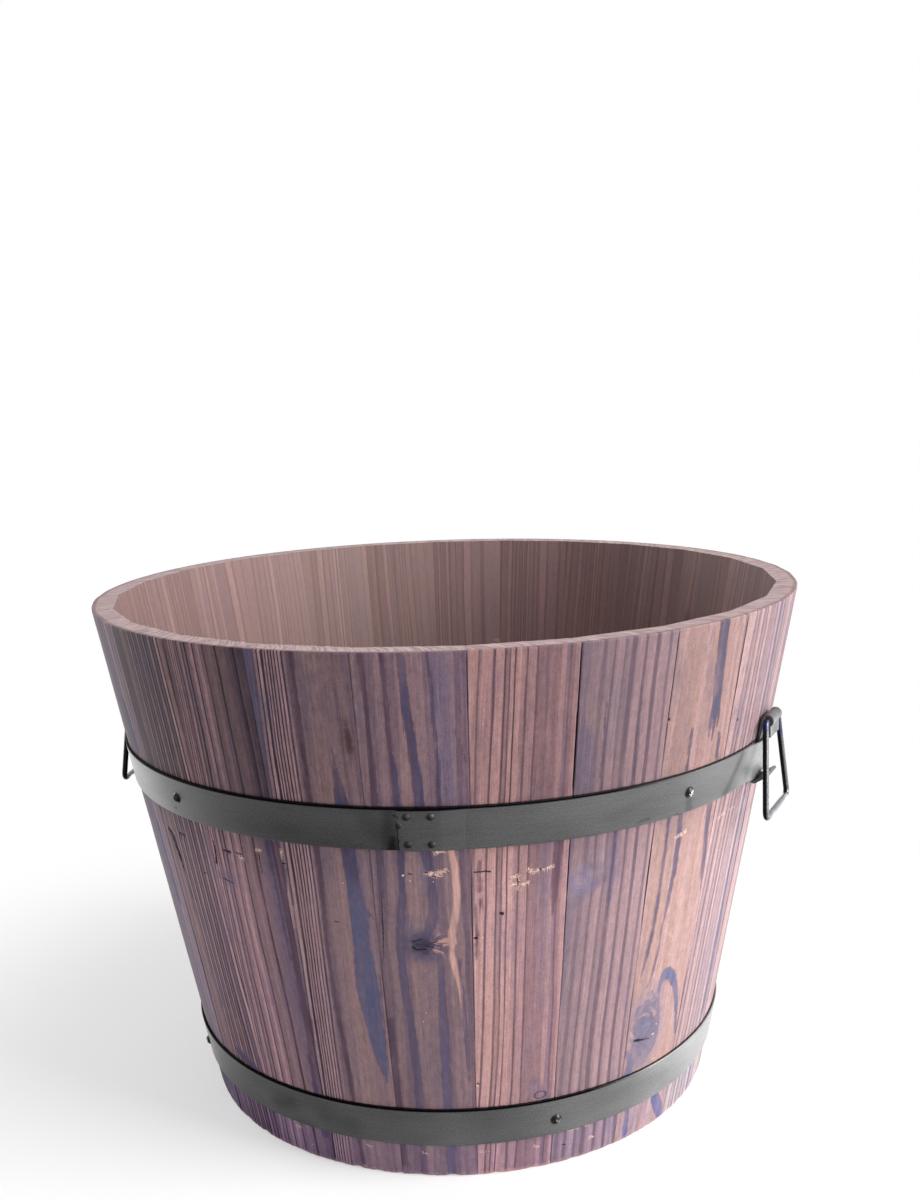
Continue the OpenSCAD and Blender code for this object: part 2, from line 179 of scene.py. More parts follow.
class Nodes:
    """Short names for building the nodes of a material, or of a world."""

    def __init__(self, name, world=False):
        self.data = (bpy.data.worlds if world else bpy.data.materials).new(name)
        self.data.use_nodes = True
        self.tree = self.data.node_tree
        self.tree.nodes.clear()
        self.out = self.add("OutputWorld" if world else "OutputMaterial")

    def add(self, kind, inputs=None, **props):
        node = self.tree.nodes.new("ShaderNode" + kind)
        for key, value in props.items():
            setattr(node, key, value)
        for key, value in (inputs or {}).items():
            if isinstance(value, Value):
                value = value.socket
            if isinstance(value, bpy.types.NodeSocket):
                self.tree.links.new(value, node.inputs[key])
            else:
                node.inputs[key].default_value = value
        return node

    def math(self, op, a, b=0.0, clamp=False):
        return Value(self, self.add("Math", {0: a, 1: b}, operation=op, use_clamp=clamp).outputs[0])

    def attr(self, name):
        return Value(self, self.add("Attribute", attribute_name=name).outputs["Fac"])

    def coord(self, name):
        return self.add("TexCoord").outputs[name]

    def vec(self, x, y, z):
        return self.add("CombineXYZ", {"X": x, "Y": y, "Z": z}).outputs[0]

    def split(self, vector):
        return [Value(self, part) for part in self.add("SeparateXYZ", {"Vector": vector}).outputs]

    def noise(self, vector, scale=1.0, detail=3.0, rough=0.5, distortion=0.0):
        node = self.add("TexNoise", {
            "Vector": vector, "Scale": scale, "Detail": detail, "Roughness": rough, "Distortion": distortion,
        })
        return Value(self, node.outputs["Fac"])

    def step(self, value, start, end, out_start=0.0, out_end=1.0):
        """Smooth step from one number to another as a value goes from start to end."""
        node = self.add("MapRange", {
            "Value": value, "From Min": start, "From Max": end, "To Min": out_start, "To Max": out_end,
        }, interpolation_type="SMOOTHSTEP")
        return Value(self, node.outputs["Result"])

    def mix(self, fac, a, b, blend="MIX"):
        node = self.add("Mix", {"Factor": fac, "A": a, "B": b}, data_type="RGBA", blend_type=blend)
        return node.outputs["Result"]

    def lay(self, under, over, value, start, end, share=1.0):
        """One colour over another, up to a share, as a value goes from start to end."""
        return self.mix(self.step(value, start, end, 0.0, share), under, over)

    def tint(self, colour, tint):
        """A colour times three gains."""
        return self.mix(1.0, colour, tint + (1.0,), "MULTIPLY")

    def lit(self, colour, light):
        """A colour times a value."""
        both = self.add("CombineColor", {"Red": light, "Green": light, "Blue": light}).outputs[0]
        return self.mix(1.0, colour, both, "MULTIPLY")

    def ramp(self, fac, stops):
        node = self.add("ValToRGB", {"Fac": fac})
        ramp = node.color_ramp
        while len(ramp.elements) > 1:
            ramp.elements.remove(ramp.elements[-1])
        ramp.elements[0].position, ramp.elements[0].color = stops[0]
        for pos, colour in stops[1:]:
            ramp.elements.new(pos).color = colour
        return node.outputs["Color"]

    def vmath(self, op, *inputs, **named):
        """Vector of a sum or a product, or value of a dot product, a distance or a length."""
        node = self.add("VectorMath", {**dict(enumerate(inputs)), **named}, operation=op)
        if op in ("DOT_PRODUCT", "DISTANCE", "LENGTH"):
            return Value(self, node.outputs["Value"])
        return node.outputs["Vector"]

    def shift(self, place, way, far):
        return self.vmath("ADD", place, self.vmath("SCALE", way, Scale=far))

    def stretch(self, point, start, end):
        """Distance from a point to a stretch of (x, z, half width) ends, less its half width."""
        (ax, az, ah), (bx, bz, bh) = start, end
        dx, dz = bx - ax, bz - az
        size = max(dx * dx + dz * dz, 1e-4)
        away = self.vmath("SUBTRACT", point, (ax, az, 0.0))
        part = self.math("MULTIPLY", self.vmath("DOT_PRODUCT", away, (dx / size, dz / size, 0.0)), 1.0, True)
        way = self.vmath("SCALE", (dx, dz, 0.0), Scale=part)
        return self.vmath("LENGTH", self.vmath("SUBTRACT", away, way)) - (part * (bh - ah) + ah)

    def nearest(self, point, lines):
        """Distance from a point to the nearest of some lines of knees, less the half width there."""
        best = None
        for line in lines:
            for start, end in zip(line, line[1:]):
                gap = self.stretch(point, start, end)
                best = gap if best is None else self.math("MINIMUM", best, gap)
        return best

    def bump(self, height, strength, distance, normal=None):
        inputs = {"Height": height, "Strength": strength, "Distance": distance}
        if normal is not None:
            inputs["Normal"] = normal
        return self.add("Bump", inputs).outputs["Normal"]

    def shader(self, kind, inputs):
        return self.add(kind, inputs).outputs[0]

    def finish(self, shader):
        self.tree.links.new(shader, self.out.inputs["Surface"])
        return self.data


# ---------------------------------------------------------------- mesh helpers

def grid_quads(index):
    """Quads of a grid of point numbers."""
    return np.stack([index[:-1, :-1], index[1:, :-1], index[1:, 1:], index[:-1, 1:]], -1).reshape(-1, 4)


def lattice(na, nb, nc):
    """Surface of a block of na x nb x nc points: (indices a, b, c of its points, its quads).
    a runs across, b up and c inward."""
    index = -np.ones((na, nb, nc), int)
    inside = np.zeros((na, nb, nc), bool)
    inside[1:-1, 1:-1, 1:-1] = True
    a, b, c = np.nonzero(~inside)
    index[a, b, c] = np.arange(len(a))
    quads = []
    for grid, flip in (
        (index[:, :, 0], False), (index[:, :, -1], True), (index[0], False),
        (index[-1], True), (index[:, 0, :].T, False), (index[:, -1, :].T, True),
    ):
        quads.append(grid_quads(grid)[:, ::-1] if flip else grid_quads(grid))
    return a, b, c, np.concatenate(quads)


def make_mesh(name, points, faces, attributes=None, smooth=True):
    """Mesh object of points in millimetres."""
    mesh = bpy.data.meshes.new(name)
    mesh.from_pydata((np.asarray(points) * 0.001).tolist(), [], [[int(v) for v in face] for face in faces])
    mesh.update()
    for key, values in (attributes or {}).items():
        att = mesh.attributes.new(key, "FLOAT", "POINT")
        att.data.foreach_set("value", np.asarray(values, np.float32))
    if smooth:
        mesh.polygons.foreach_set("use_smooth", np.ones(len(mesh.polygons), bool))
    obj = bpy.data.objects.new(name, mesh)
    bpy.context.scene.collection.objects.link(obj)
    return obj


def sharpen(obj):
    """Edges between faces that meet at more than 50 degrees stay sharp."""
    mesh = obj.data
    mesh.update()
    edge_faces = {}
    for poly in mesh.polygons:
        for key in poly.edge_keys:
            edge_faces.setdefault(key, []).append(poly.index)
    limit = math.cos(math.radians(50))
    normals = np.zeros(len(mesh.polygons) * 3)
    mesh.polygons.foreach_get("normal", normals)
    normals = normals.reshape(-1, 3)
    flags = np.zeros(len(mesh.edges), bool)
    for edge in mesh.edges:
        pair = edge_faces.get(edge.key, ())
        if len(pair) == 2 and float(normals[pair[0]] @ normals[pair[1]]) < limit:
            flags[edge.index] = True
    att = mesh.attributes.new("sharp_edge", "BOOLEAN", "EDGE")
    att.data.foreach_set("value", flags)


def ripple(seed, x, z, kx, kz, count=6):
    """Smooth wandering of a value over two coordinates, the same on every run."""
    rng = np.random.RandomState(seed)
    kx = rng.uniform(0.4, 1.0, count) * kx * rng.choice([-1, 1], count)
    kz = rng.uniform(0.3, 1.0, count) * kz
    phase = rng.uniform(0, 2 * math.pi, count)
    return sum(np.sin(a * x + b * z + c) for a, b, c in zip(kx, kz, phase)) / math.sqrt(count)


def along_line(x, z, line):
    """Distance from points to a line of (x, z, half width) knees, less its half width."""
    best = np.full(np.shape(x), 1e3)
    for (x0, z0, h0), (x1, z1, h1) in zip(line, line[1:]):
        dx, dz = x1 - x0, z1 - z0
        t = np.clip(((x - x0) * dx + (z - z0) * dz) / (dx * dx + dz * dz + 1e-9), 0, 1)
        d = np.hypot(x - x0 - t * dx, z - z0 - t * dz) - (h0 + t * (h1 - h0))
        best = np.minimum(best, d)
    return best


def read_line(text):
    """Tuples of numbers, from a text with commas between the tuples."""
    return [tuple(float(number) for number in part.split()) for part in text.split(",")]


def read_lines(table):
    """Lines of knees by stave, from texts with semicolons between the lines."""
    return {i: [read_line(line) for line in text.split(";")] for i, text in table.items()}


# ---------------------------------------------------------------- the staves' figure

# Tones of the grain, as they look.
TONES = {
    "M": (124, 101, 107), "T": (138, 114, 114), "t": (147, 120, 116), "m": (110, 89, 99), "D": (86, 63, 78),
    "K": (60, 40, 52), "B": (70, 71, 103), "b": (108, 97, 116), "P": (176, 145, 143), "L": (150, 124, 126),
    "O": (162, 129, 118),
}

# Bands across a stave, measured just under the upper hoop: azimuth of the left edge, and the tone.
BAND_Z = 235.0
BANDS = {
    22: "-40.1T -38.4M -37.2T -36.2M -35.2D -34.9L -34.4D -34.1M -33.6D -33.3L -32.8D -32.5M -32D -31.7L -31.2D "
        "-30.9M -30.4K -30.1L -29.6D -29.3M -28.8D -28.5L -27.9D -27.6M -27D -26.7P -26.1D -25.8L",
    23: "-25.1M -24.75P -24.45D -24.25P -23.95D -23.75P -23.35D -23.15L -22.8D -22.6L -22.2P -21.8m -21.4L "
        "-20.95D -20.6L -19.8P -19.2D -18.95L -18.4P -17.8L -17.2D -16.9T -16L -15.4T -14.7D -14.3T -12.6M -11.7m "
        "-11.2D -10.9M -10.4m",
    24: "-10.1b -9.75m -9.4L -8.95K -8.65P -8.1K -7.7P -7.45D -7.25P -7K -6.75P -6.5K -6.25P -5.95K -5.7P -5.4D "
        "-5.15P -4.8D -4.5L -4.1M -2.6T -1.2t 0.8T 2.8M 3.4T 4.4M",
    1: "4.9T 5.7M 7.3T 8.6M 10.4t 12T 14.4M 16.2T 18.5m 19.3M 19.7m",
    2: "19.9P 20.3m 20.6L 20.9P 22.4D 22.75P 24K 24.25L 24.7D 24.95P 25.5K 25.75P 26.5L 27.2D 27.5L 28.7D 29M "
       "29.7M 30.2m 30.6M 32.2L 32.9b 33.4D 33.7M 34.2L",
    3: "34.9b 35.7L 37.4m 38.1L 39.15D 39.5L 39.9P 40.9m 41.4L 42.1D 42.9L 43.2P 44.4D 44.9L 45.2P 46.4D 47P "
       "48.6m 49.1P",
    4: "49.9L 50.4P 51.2t 52O 52.8L 53.8O 54.9P 56.8O 58.2P 60.4O 61.6P 63O 63.8P 64.8m",
    5: "64.9P 66.2m 66.6L 67.5D 67.9L 68.4P 69.2m 69.6L 70.4D 70.8P 71.6b 72.2L 73.2m 73.6L 74.5b 75.2P 76.2B "
       "77.2L 78.2b 79L",
}

# Brightness and tint of each stave's wood: partly its own tone, partly painted light that makes the right staves
# lighter and the left ones bluer.
SHADES = {
    21: (0.95, 0.93, 1.14), 22: (1.12, 1.0, 1.12), 23: (1.14, 1.02, 1.17), 24: (1.04, 1.0, 1.12),
    1: (0.9, 0.87, 0.98), 2: (1.28, 1.12, 1.1), 3: (0.88, 0.87, 0.93), 4: (1.12, 1.09, 1.06),
    5: (1.23, 1.25, 1.25), 6: (1.24, 1.26, 1.28), 7: (1.2, 1.2, 1.22),
}

# How strongly the bands of a stave stand out from its mean colour, and again above the upper hoop.
CONTRASTS = {21: 1.3, 22: 1.7, 23: 1.2, 24: 1.05, 1: 1.0, 2: 0.84, 3: 0.64, 4: 0.5, 5: 0.7, 6: 0.75}
RIM_CONTRASTS = {22: 1.5, 23: 1.4, 24: 1.3, 1: 1.15, 2: 1.1, 3: 1.0, 4: 1.2, 5: 1.3}

# How much darker the wood is above the upper hoop: painted shadow over the top of the staves.
RIM_SHADES = {21: 0.64, 22: 0.47, 23: 0.51, 24: 0.74, 1: 0.95, 2: 0.62, 3: 0.68, 4: 0.68, 5: 0.7}

# Tint of the foot: bluish, with painted shade that darkens the foot on the left staves and lightens it on the
# right.
FOOT_TINTS = {
    21: (0.6, 0.68, 1.0), 22: (0.86, 0.86, 1.2), 23: (0.8, 0.86, 1.18), 24: (1.0, 0.98, 1.22),
    1: (1.05, 1.05, 1.26), 2: (0.88, 0.9, 1.1), 3: (0.92, 0.98, 1.18), 4: (0.92, 1.0, 1.2),
    5: (1.1, 1.32, 1.34), 6: (1.1, 1.34, 1.34),
}

# Tint of the blue-grey streaks, and the height where it sets in.
BLUE_TINTS = {24: ((1.14, 1.5, 1.45), 225.0), 1: ((1.6, 1.42, 1.18), 225.0), 4: ((1.08, 1.5, 1.66), 150.0)}

# How much brighter the pale streaks are than the stave's pale bands.
PALE_GAINS = {1: (1.6, 1.45, 1.14)}

# Lean of the grain: how far a stripe moves to the right on its way to the rim, in mm per mm.
LEANS = {22: -0.004, 23: 0.006, 24: 0.01, 1: 0.004, 2: 0.024, 3: 0.012, 4: 0.006, 5: 0.012}

# Knots: azimuth, height, half width, half height, how far they push the stripes aside.
KNOTS = {
    24: [(3.8, 303, 2.2, 9.5, 1.6)], 1: [(12.4, 171.0, 9.2, 6.4, 4.6)],
    3: [(37.2, 205, 5.5, 6.5, 2.2)], 4: [(54.5, 83, 12.2, 21.5, 3.0)],
}

# Colours of a knot: its heart, its body, the wood round it, and how strongly each of them shows.
KNOT_TONES = {
    24: ((78, 46, 52), (92, 64, 70), (104, 78, 82), (0.85, 0.7, 0.35)),
    1: ((34, 29, 46), (70, 60, 82), (82, 74, 102), (0.92, 0.92, 0.75)),
    3: ((146, 124, 134), (124, 110, 130), (126, 115, 142), (0.5, 0.4, 0.5)),
    4: ((88, 86, 107), (106, 98, 117), (136, 121, 138), (0.8, 0.88, 0.5)),
}
OTHER_KNOT = ((50, 40, 54), (78, 66, 84), (96, 84, 100), (0.85, 0.8, 0.4))

# Waves of a knot's rings, and how much its lighter grain stands out.
KNOT_GRAINS = {1: (14.0, 2.3), 4: (28.0, 1.35)}
OTHER_GRAIN = (19.0, 1.4)

# The stave whose knot has pink fibres beside it.
FAN_STAVE = 1

# Ring left by a small knot: azimuth, height, half width, half height.
RINGS = {2: [(32.1, 56.5, 4.2, 2.6)]}

# Staves seen at a slant, with bands by chance but no marks by chance.
SLANTED = (21, 6)

# How open and sooty each joint is: its number (the joint at 5 degrees is 0), height from, to, strength.
OPEN_JOINTS = {
    22: [(100, 356, 0.15)], 23: [(60, 330, 0.1)],
    0: [(70, 165, 0.1)], 1: [(235, 356, 0.3), (100, 235, 0.2)],
    2: [(262, 356, 0.5), (196, 236, 0.38), (160, 196, 0.22)],
    3: [(262, 356, 0.35), (160, 235, 0.2)], 4: [(150, 356, 0.3)],
}

# The tables below hold lines of azimuth, height and half width, with a comma between the knees of a
# line and a semicolon between lines.

# Blue-grey streaks.
STREAKS = read_lines({
    21: "-45 300 4, -44.5 270 5; -44.5 215 3, -44.2 160 4",
    22: "-33 60 2.5, -29 55 3.5, -26.5 52 2",
    23: "-11.9 233 1.3, -11.8 205 0.9, -11.6 150 0.5; -11.5 60 1.8, -11.2 20 2.2",
    24: "1.35 297 0.2, 1.4 285 1.1, 1.7 262 4.2, 1.8 235 4.4, 2 212 4, 2.2 198 4.6, 2.2 186 5, 2.2 172 4.8, "
        "2.2 158 5.6, 2.2 140 7.2, 2.4 125 6, 2.9 108 5, 3.1 92 4, 3.5 80 2.2, 3.85 71 0.3; 3.2 194 1.6, "
        "4.3 190 0.9, 4.7 188 0.2",
    1: "9.5 298 0.2, 9.65 286 1.4, 9.8 262 1.8, 9.75 235 1.9, 9.5 205 1.9, 8.9 188 2.2, 8.5 165 2, 8.5 145 2.1, "
       "9.1 120 1.9, 9.5 95 2.1, 9.6 60 2.3, 9.6 30 1.8, 9.5 3 1.6; 11.5 362 1.8, 12 320 2.3, 12.6 290 2.7, "
       "13 262 3, 13.4 235 3, 14 215 2.2, 14.1 198 2.6, 13.6 184 3, 12.6 177 2; 14.8 163 1.6, 14.8 140 2, "
       "14.8 115 2.4, 14.8 90 2.7, 14.9 55 2.6, 14.9 5 2.4; 15 362 0.5, 15.4 320 0.8, 15.8 285 0.9, "
       "15.7 262 0.8; 17.8 160 0.5, 18.3 130 0.9, 18.5 105 1.2, 18.8 85 1, 19 72 0.3",
    3: "42.6 238 0.5, 42.6 206 0.7, 42.6 178 0.1; 39.2 318 0.1, 39.3 300 0.7, 39.4 262 0.6; 44.6 325 0.1, "
       "44.7 300 0.8, 44.9 262 0.7",
    4: "53 235 1, 53.1 190 1.1, 52.9 165 1.2, 52.6 150 1.3, 52.1 137 0.9, 51.3 124 0.3; 55.3 290 1, "
       "55.4 262 1.2, 55.5 235 1.9, 55.9 215 2.3, 56 198 2.2, 55.7 178 1.6, 55.1 158 1, 54.9 140 0.8, "
       "54.2 124 0.7, 53.3 114 0.3; 62.9 240 2.4, 63.2 220 2.3, 63.6 203 2, 64.4 186 1.8, 64.8 172 0.8; "
       "59 364 4.2, 59.8 312 4.5, 60.1 296 3.8; 59.3 300 1.4, 59.3 281 0.5; 60.2 298 1.6, 60.5 278 0.6; "
       "61.1 298 1.2, 61.3 286 0.3; 62.2 281 1.4, 62.8 262 1; 56.6 108 1.2, 56.9 115 1.9, 57.7 120 2.8, "
       "58.6 120 3.6, 60.2 115 3.2, 61.6 106 2.4, 62.8 95 1.8, 63.8 81 1.5, 64.8 66 0.7; 51.2 97 0.4, "
       "52.2 102.5 0.8, 53.8 104.6 0.9, 55.2 101 0.7, 55.9 97 0.2; 53.4 110.6 0.2, 54.4 111.4 0.5, 55.3 108 0.6, "
       "56 103 0.5, 56.3 99 0.2; 56.8 108 0.8, 57.1 98 1, 57.8 87 1.1, 58 75 1.3, 57.4 66 1.1, 56.2 61 0.5; "
       "50 70 1.6, 51.2 66 2.4, 51.8 60 2.8, 51.3 54 3.2, 50.6 49 3; 52.6 24 1.6, 52.8 2 2; 60.8 22 3.6, "
       "62.6 12 4.6, 64 3 3.4",
    5: "77 225 2, 76.6 170 2.2, 77.4 120 1.8, 77.6 60 1.4",
})

# Dark purple-brown streaks.
PURPLES = read_lines({
    # Stave 22's line is a wide dark patch above the upper hoop, painted shadow like the darkening of the rim.
    22: "-38.8 364 7, -38.4 262 6, -38.3 240 0.1",
    23: "-11 232 1, -10.8 205 1.5, -10.5 180 2, -10.6 150 2.2, -10.7 120 2.9, -10.6 95 2.6, -11.3 80 1.6, "
        "-11.4 40 1.6",
    24: "4.6 150 0.1, 4.65 130 0.35, 4.3 80 0.3; -2.9 364 1.3, -3.1 290 1.5, -3.1 262 1.6, -3.15 235 1.8, "
        "-3.5 200 1.5, -3.9 165 1.4, -3.95 130 1.5, -3.8 105 1.6, -3.4 75 1.7, -3.3 40 1.6, -3.2 5 1.5; "
        "-9.9 232 1.2, -9.7 214 1.4, -9.9 200 0.8; -10.6 116 1, -9.9 110 1.8, -10.1 96 1.9, -10.6 88 1",
    1: "18 312 0.2, 18.9 300 0.4, 19.7 288 0.2; 9.2 364 1.3, 9.4 310 1.3, 9.6 284 0.9; 6.5 364 1.5, 6.7 300 1.7, "
       "6.6 262 1.9, 6.6 238 2.1, 6.4 215 1.9, 6.1 198 1.2, 5.7 180 0.4; 5.7 117 2.1, 5.7 90 2.2, 5.8 55 2.1, "
       "5.8 8 1.9",
    2: "21.3 226 0.9, 21.2 206 1.4; 21.3 200 1.2, 21.5 192 0.6; 20.5 198 0.4, 20.6 180 1, 20.6 160 0.6; "
       "33.2 238 3, 33 205 2.6, 32.8 185 0.2",
    4: "57 107 0.1, 57.5 113.5 0.4, 58.5 115.4 0.5, 60 111 0.5, 61.5 102 0.5, 62.8 91 0.4, 63.8 79 0.4, "
       "64.7 66 0.2",
})

# Pale streaks.
PALES = read_lines({
    24: "-9.6 206 0.9, -9.6 190 1.1, -9.7 176 1.3; -9 190 0.7, -8.9 150 0.9, -9.1 120 0.6; -10.2 88 0.9, "
        "-10.6 60 0.9; -9.9 84 0.7, -10 60 0.8",
    1: "17 236 1.9, 17.6 222 2.1, 17.7 208 2.2, 17.6 195 2, 17.1 184 2.1, 16.7 178 2.4, 16.9 172 2.6; "
       "16.6 172 1.2, 16.7 162 2, 17.3 150 1.7, 17.9 138 1.2, 18.2 122 0.7, 18.4 104 0.2",
    2: "20 236 0.5, 19.95 180 0.5, 19.9 110 0.4, 20 60 0.9",
    3: "49.5 232 1.1, 49.6 190 0.9, 49.7 150 0.5",
    4: "57.2 150 1.2, 58.6 144 0.8",
})

# Soft bluish patches.
HAZES = read_lines({
    21: "-46 340 8, -45 20 9",
    22: "-33 60 4, -29 56 5; -26 225 3, -25.6 150 2",
    23: "-12.4 235 5, -12 150 6, -11.6 60 5; -22 200 6, -24 200 3",
    24: "2.2 230 5, 2.4 150 6.5, 3 95 4; -9.8 235 1, -9.9 60 1",
    1: "16.4 364 5, 16.8 262 5; 9.8 163 4, 13.5 162 4; 9.2 190 4, 10.4 175 5, 12.6 172 6; 6.5 236 4, 6.4 205 3; "
       "13.6 232 5, 13.9 205 4; 9.4 110 3.5, 9.6 55 3.5; 14.8 110 4, 14.8 50 4",
    2: "31 66 4, 32.6 55 5; 31.2 235 4, 31.4 180 3, 31.6 120 1.5",
    3: "35.4 206 3, 37.4 197 4.5, 40 203 4.5, 42.8 208 4; 38 214 2, 40.5 212 3; 36 192 3.5, 35.4 165 2.5, "
       "35.2 120 1; 36.6 300 5, 37 264 5; 42.6 232 3, 42.6 190 2",
    4: "53.8 96 8.5, 54.8 80 10, 54.2 62 9; 58.4 118 4, 60.4 112 3.5; 61.6 20 6",
})

# Pinkish patches.
FANS = read_lines({
    2: "20.25 131 0.6, 20.45 122 1",
    4: "55.7 96 0.8, 56.6 91.5 1.5; 50.8 84 1, 51.5 80 1.2; 50.5 77 0.8, 50.9 73 0.6; 52.2 93.5 0, "
       "53.6 94.8 0.5, 55.2 92.5 0.2",
})

# Torn-out chips, where bare wood shows in ragged filaments.
CHIPS = read_lines({
    23: "-14.2 225.6 0.4, -13.5 225.4 0.4; -18.2 217.4 0.5, -17.6 217 0.4; -18.9 20 0.3, -17.4 20.2 0.4",
    24: "-10 222 0.7, -9.6 228 0.9; -1.9 19.4 0.5, -1.1 18.6 0.3",
    1: "14.8 233 0.9, 15.5 234.2 1.5, 16.1 233 0.7; 13.3 219 0.4, 14.2 218.4 1.2, 15.2 218.6 1.9, "
       "15.6 220.4 0.8, 16.4 220.9 0.5; 9.3 18 0.4, 10.3 17.4 0.3",
    2: "27.2 205 0.25, 27.25 215 0.35; 26 213.4 0.5, 27.2 214.4 0.7; 26.1 209.2 0.5, 26.9 209 0.5; "
       "27.5 209.6 0.4, 28.6 208.8 0.6; 28.6 217.6 0.5, 29.4 216 0.9, 30.3 216.2 0.5; 31.1 216.2 0.3, "
       "32.4 217.6 0.7; 31.4 17 0.4, 32.6 16.6 0.4; 20.8 18 0.3, 22.2 17.6 0.2",
    3: "38.6 24 0.4, 40.6 23.6 0.5; 42.4 23.8 0.3, 43.4 23.6 0.3; 43.5 13 0.6, 44.6 12.2 0.5",
    4: "55.1 218.4 0.4, 56.3 219.2 0.6, 57.5 220.2 0.4; 57.8 54 0.2, 58.6 56 0.3",
    5: "66.4 219 0.1, 68.6 220.8 0.2; 70.8 221 0, 72.6 220.4 0.1",
})

# Small pale specks.
SPECKS = read_lines({
    23: "-13.9 225.5 0.8, -17.9 217.2 1, -15 9 0.7",
    24: "-1.6 19 0.8, 0.4 211 0.5",
    1: "15 233.4 1.3, 15.7 234.2 1.4, 10.8 214.4 0.7, 14.3 213.5 0.6, 11.4 117 0.6, 11.95 123.7 0.5, 9.9 217.9 1",
    2: "21.6 174.9 0.8, 20.35 68.7 0.9, 26.4 209.1 0.8",
    3: "43 23.7 0.6, 44.1 23.9 0.5",
    4: "57.45 82.6 0.8, 56.95 76 0.9, 58.2 133 0.6, 56 158 0.5",
})

# Cracks, nail holes and burnt spots.
CRACKS = read_lines({
    22: "-38.3 218 1.4, -37.2 214 2.4, -36.5 200 1.6, -36.1 188 0.5; -34.5 219.4 0.7, -32.5 219.6 1; "
        "-28.9 197 0.4, -28.2 197.6 0.4; -36 188 0.25, -35 90 0.15",
    23: "-24 224 0.5, -24.4 208 0.8; -21.7 219.4 0.7, -20.3 219.2 0.8; -18.9 220.4 0.4, -17.7 220.2 0.3; "
        "-14.2 223 0.4, -14.1 210 0.3; -23.6 198.4 0.3, -21 197.6 0.3",
    24: "-1.9 184 0.25, -1.2 184 0.25; -9.9 219 0.3, -8.9 219.4 0.3",
    1: "6.3 206 0, 6.1 192 0.2, 5.85 176 0.25, 5.5 160 0; 10.4 169.6 0.35, 11.2 167.6 0.5, 12.6 168 0.3; "
       "10.5 173.4 0.3, 11.8 174.6 0.3; 13.2 219.6 0.5, 13.5 219.4 0.4; 10.6 218.8 0.35, 11.1 218.6 0.3; "
       "14.3 217.2 0.4, 14.7 216.6 0.3",
    2: "24.5 190.4 1, 24.7 190 1; 20.35 174.8 0.8, 20.6 174.6 0.8; 20.4 219 0.3, 22.8 219 0.45; 20.3 70.5 0.35, "
       "20.6 70.2 0.35; 30.5 217 0.5, 30.6 216.4 0.5; 27.05 213 0.2, 27.1 208 0.25",
    3: "37.4 13.4 0.3, 38 13.2 0.3; 43.1 24.6 0.3, 43.4 24.2 0.3",
    4: "51.9 77.2 0.7, 52.9 75.8 0.8, 54.4 75.2 0.5, 56.2 73.8 0.1; 50.2 300.6 0.9, 50.3 300 0.9",
    5: "67.2 285.4 1, 67.4 285 1",
})


def local_lines(lines, mid):
    """Lines given by azimuth, in a stave's own millimetres."""
    return [[(math.radians(az - mid) * wall_r(z), z, half) for az, z, half in line] for line in lines]


def bands_of(i):
    """Left edges, in mm from the stave's middle, and tones of its bands: by chance where none are set."""
    mid = stave_az(i)
    if i in BANDS:
        return [(math.radians(float(band[:-1]) - mid) * wall_r(BAND_Z), band[-1]) for band in BANDS[i].split()]
    rng = np.random.RandomState(700 + i)
    fine, out, x = rng.uniform(-25, 25), [], -33.0
    while x < 33:
        wide = rng.uniform(0.6, 1.4) * (1.0 + 0.11 * abs(x - fine))
        out.append((x, rng.choice(list("LPTMt"))))
        out.append((x + 1.5 * wide, rng.choice(list("DmDKmb"))))
        x += 1.5 * wide + rng.uniform(0.6, 1.1) * (1 + 0.3 * wide)
    return out


def tone(name, shade):
    return tinted(srgb(*TONES[name]), shade)


# The profile of a stave: colour ramps side by side, stops of each, and how wide it is in mm.
RAMPS, STOPS, SPAN = 5, 32, 68.0
SAMPLES = RAMPS * (STOPS - 1) + 1


def profile_of(i, wood):
    """Colours at even places across a stave, from its bands; their edges are a little soft."""
    bands = bands_of(i)
    edges = np.array([x for x, _ in bands])
    colours = np.array([wood[name] for _, name in bands])
    fine = np.linspace(-SPAN / 2, SPAN / 2, 8 * (SAMPLES - 1) + 1)
    raw = colours[np.clip(np.searchsorted(edges, fine) - 1, 0, len(bands) - 1)]
    kernel = np.hanning(9) / np.hanning(9).sum()
    padded = np.pad(raw, ((4, 4), (0, 0)), mode="edge")
    soft = sum(kernel[k] * padded[k:k + len(raw)] for k in range(9))[::8]
    mean = soft.mean(axis=0)
    return np.clip(mean + (soft - mean) * CONTRASTS.get(i, 0.8), 0.0, 1.0)


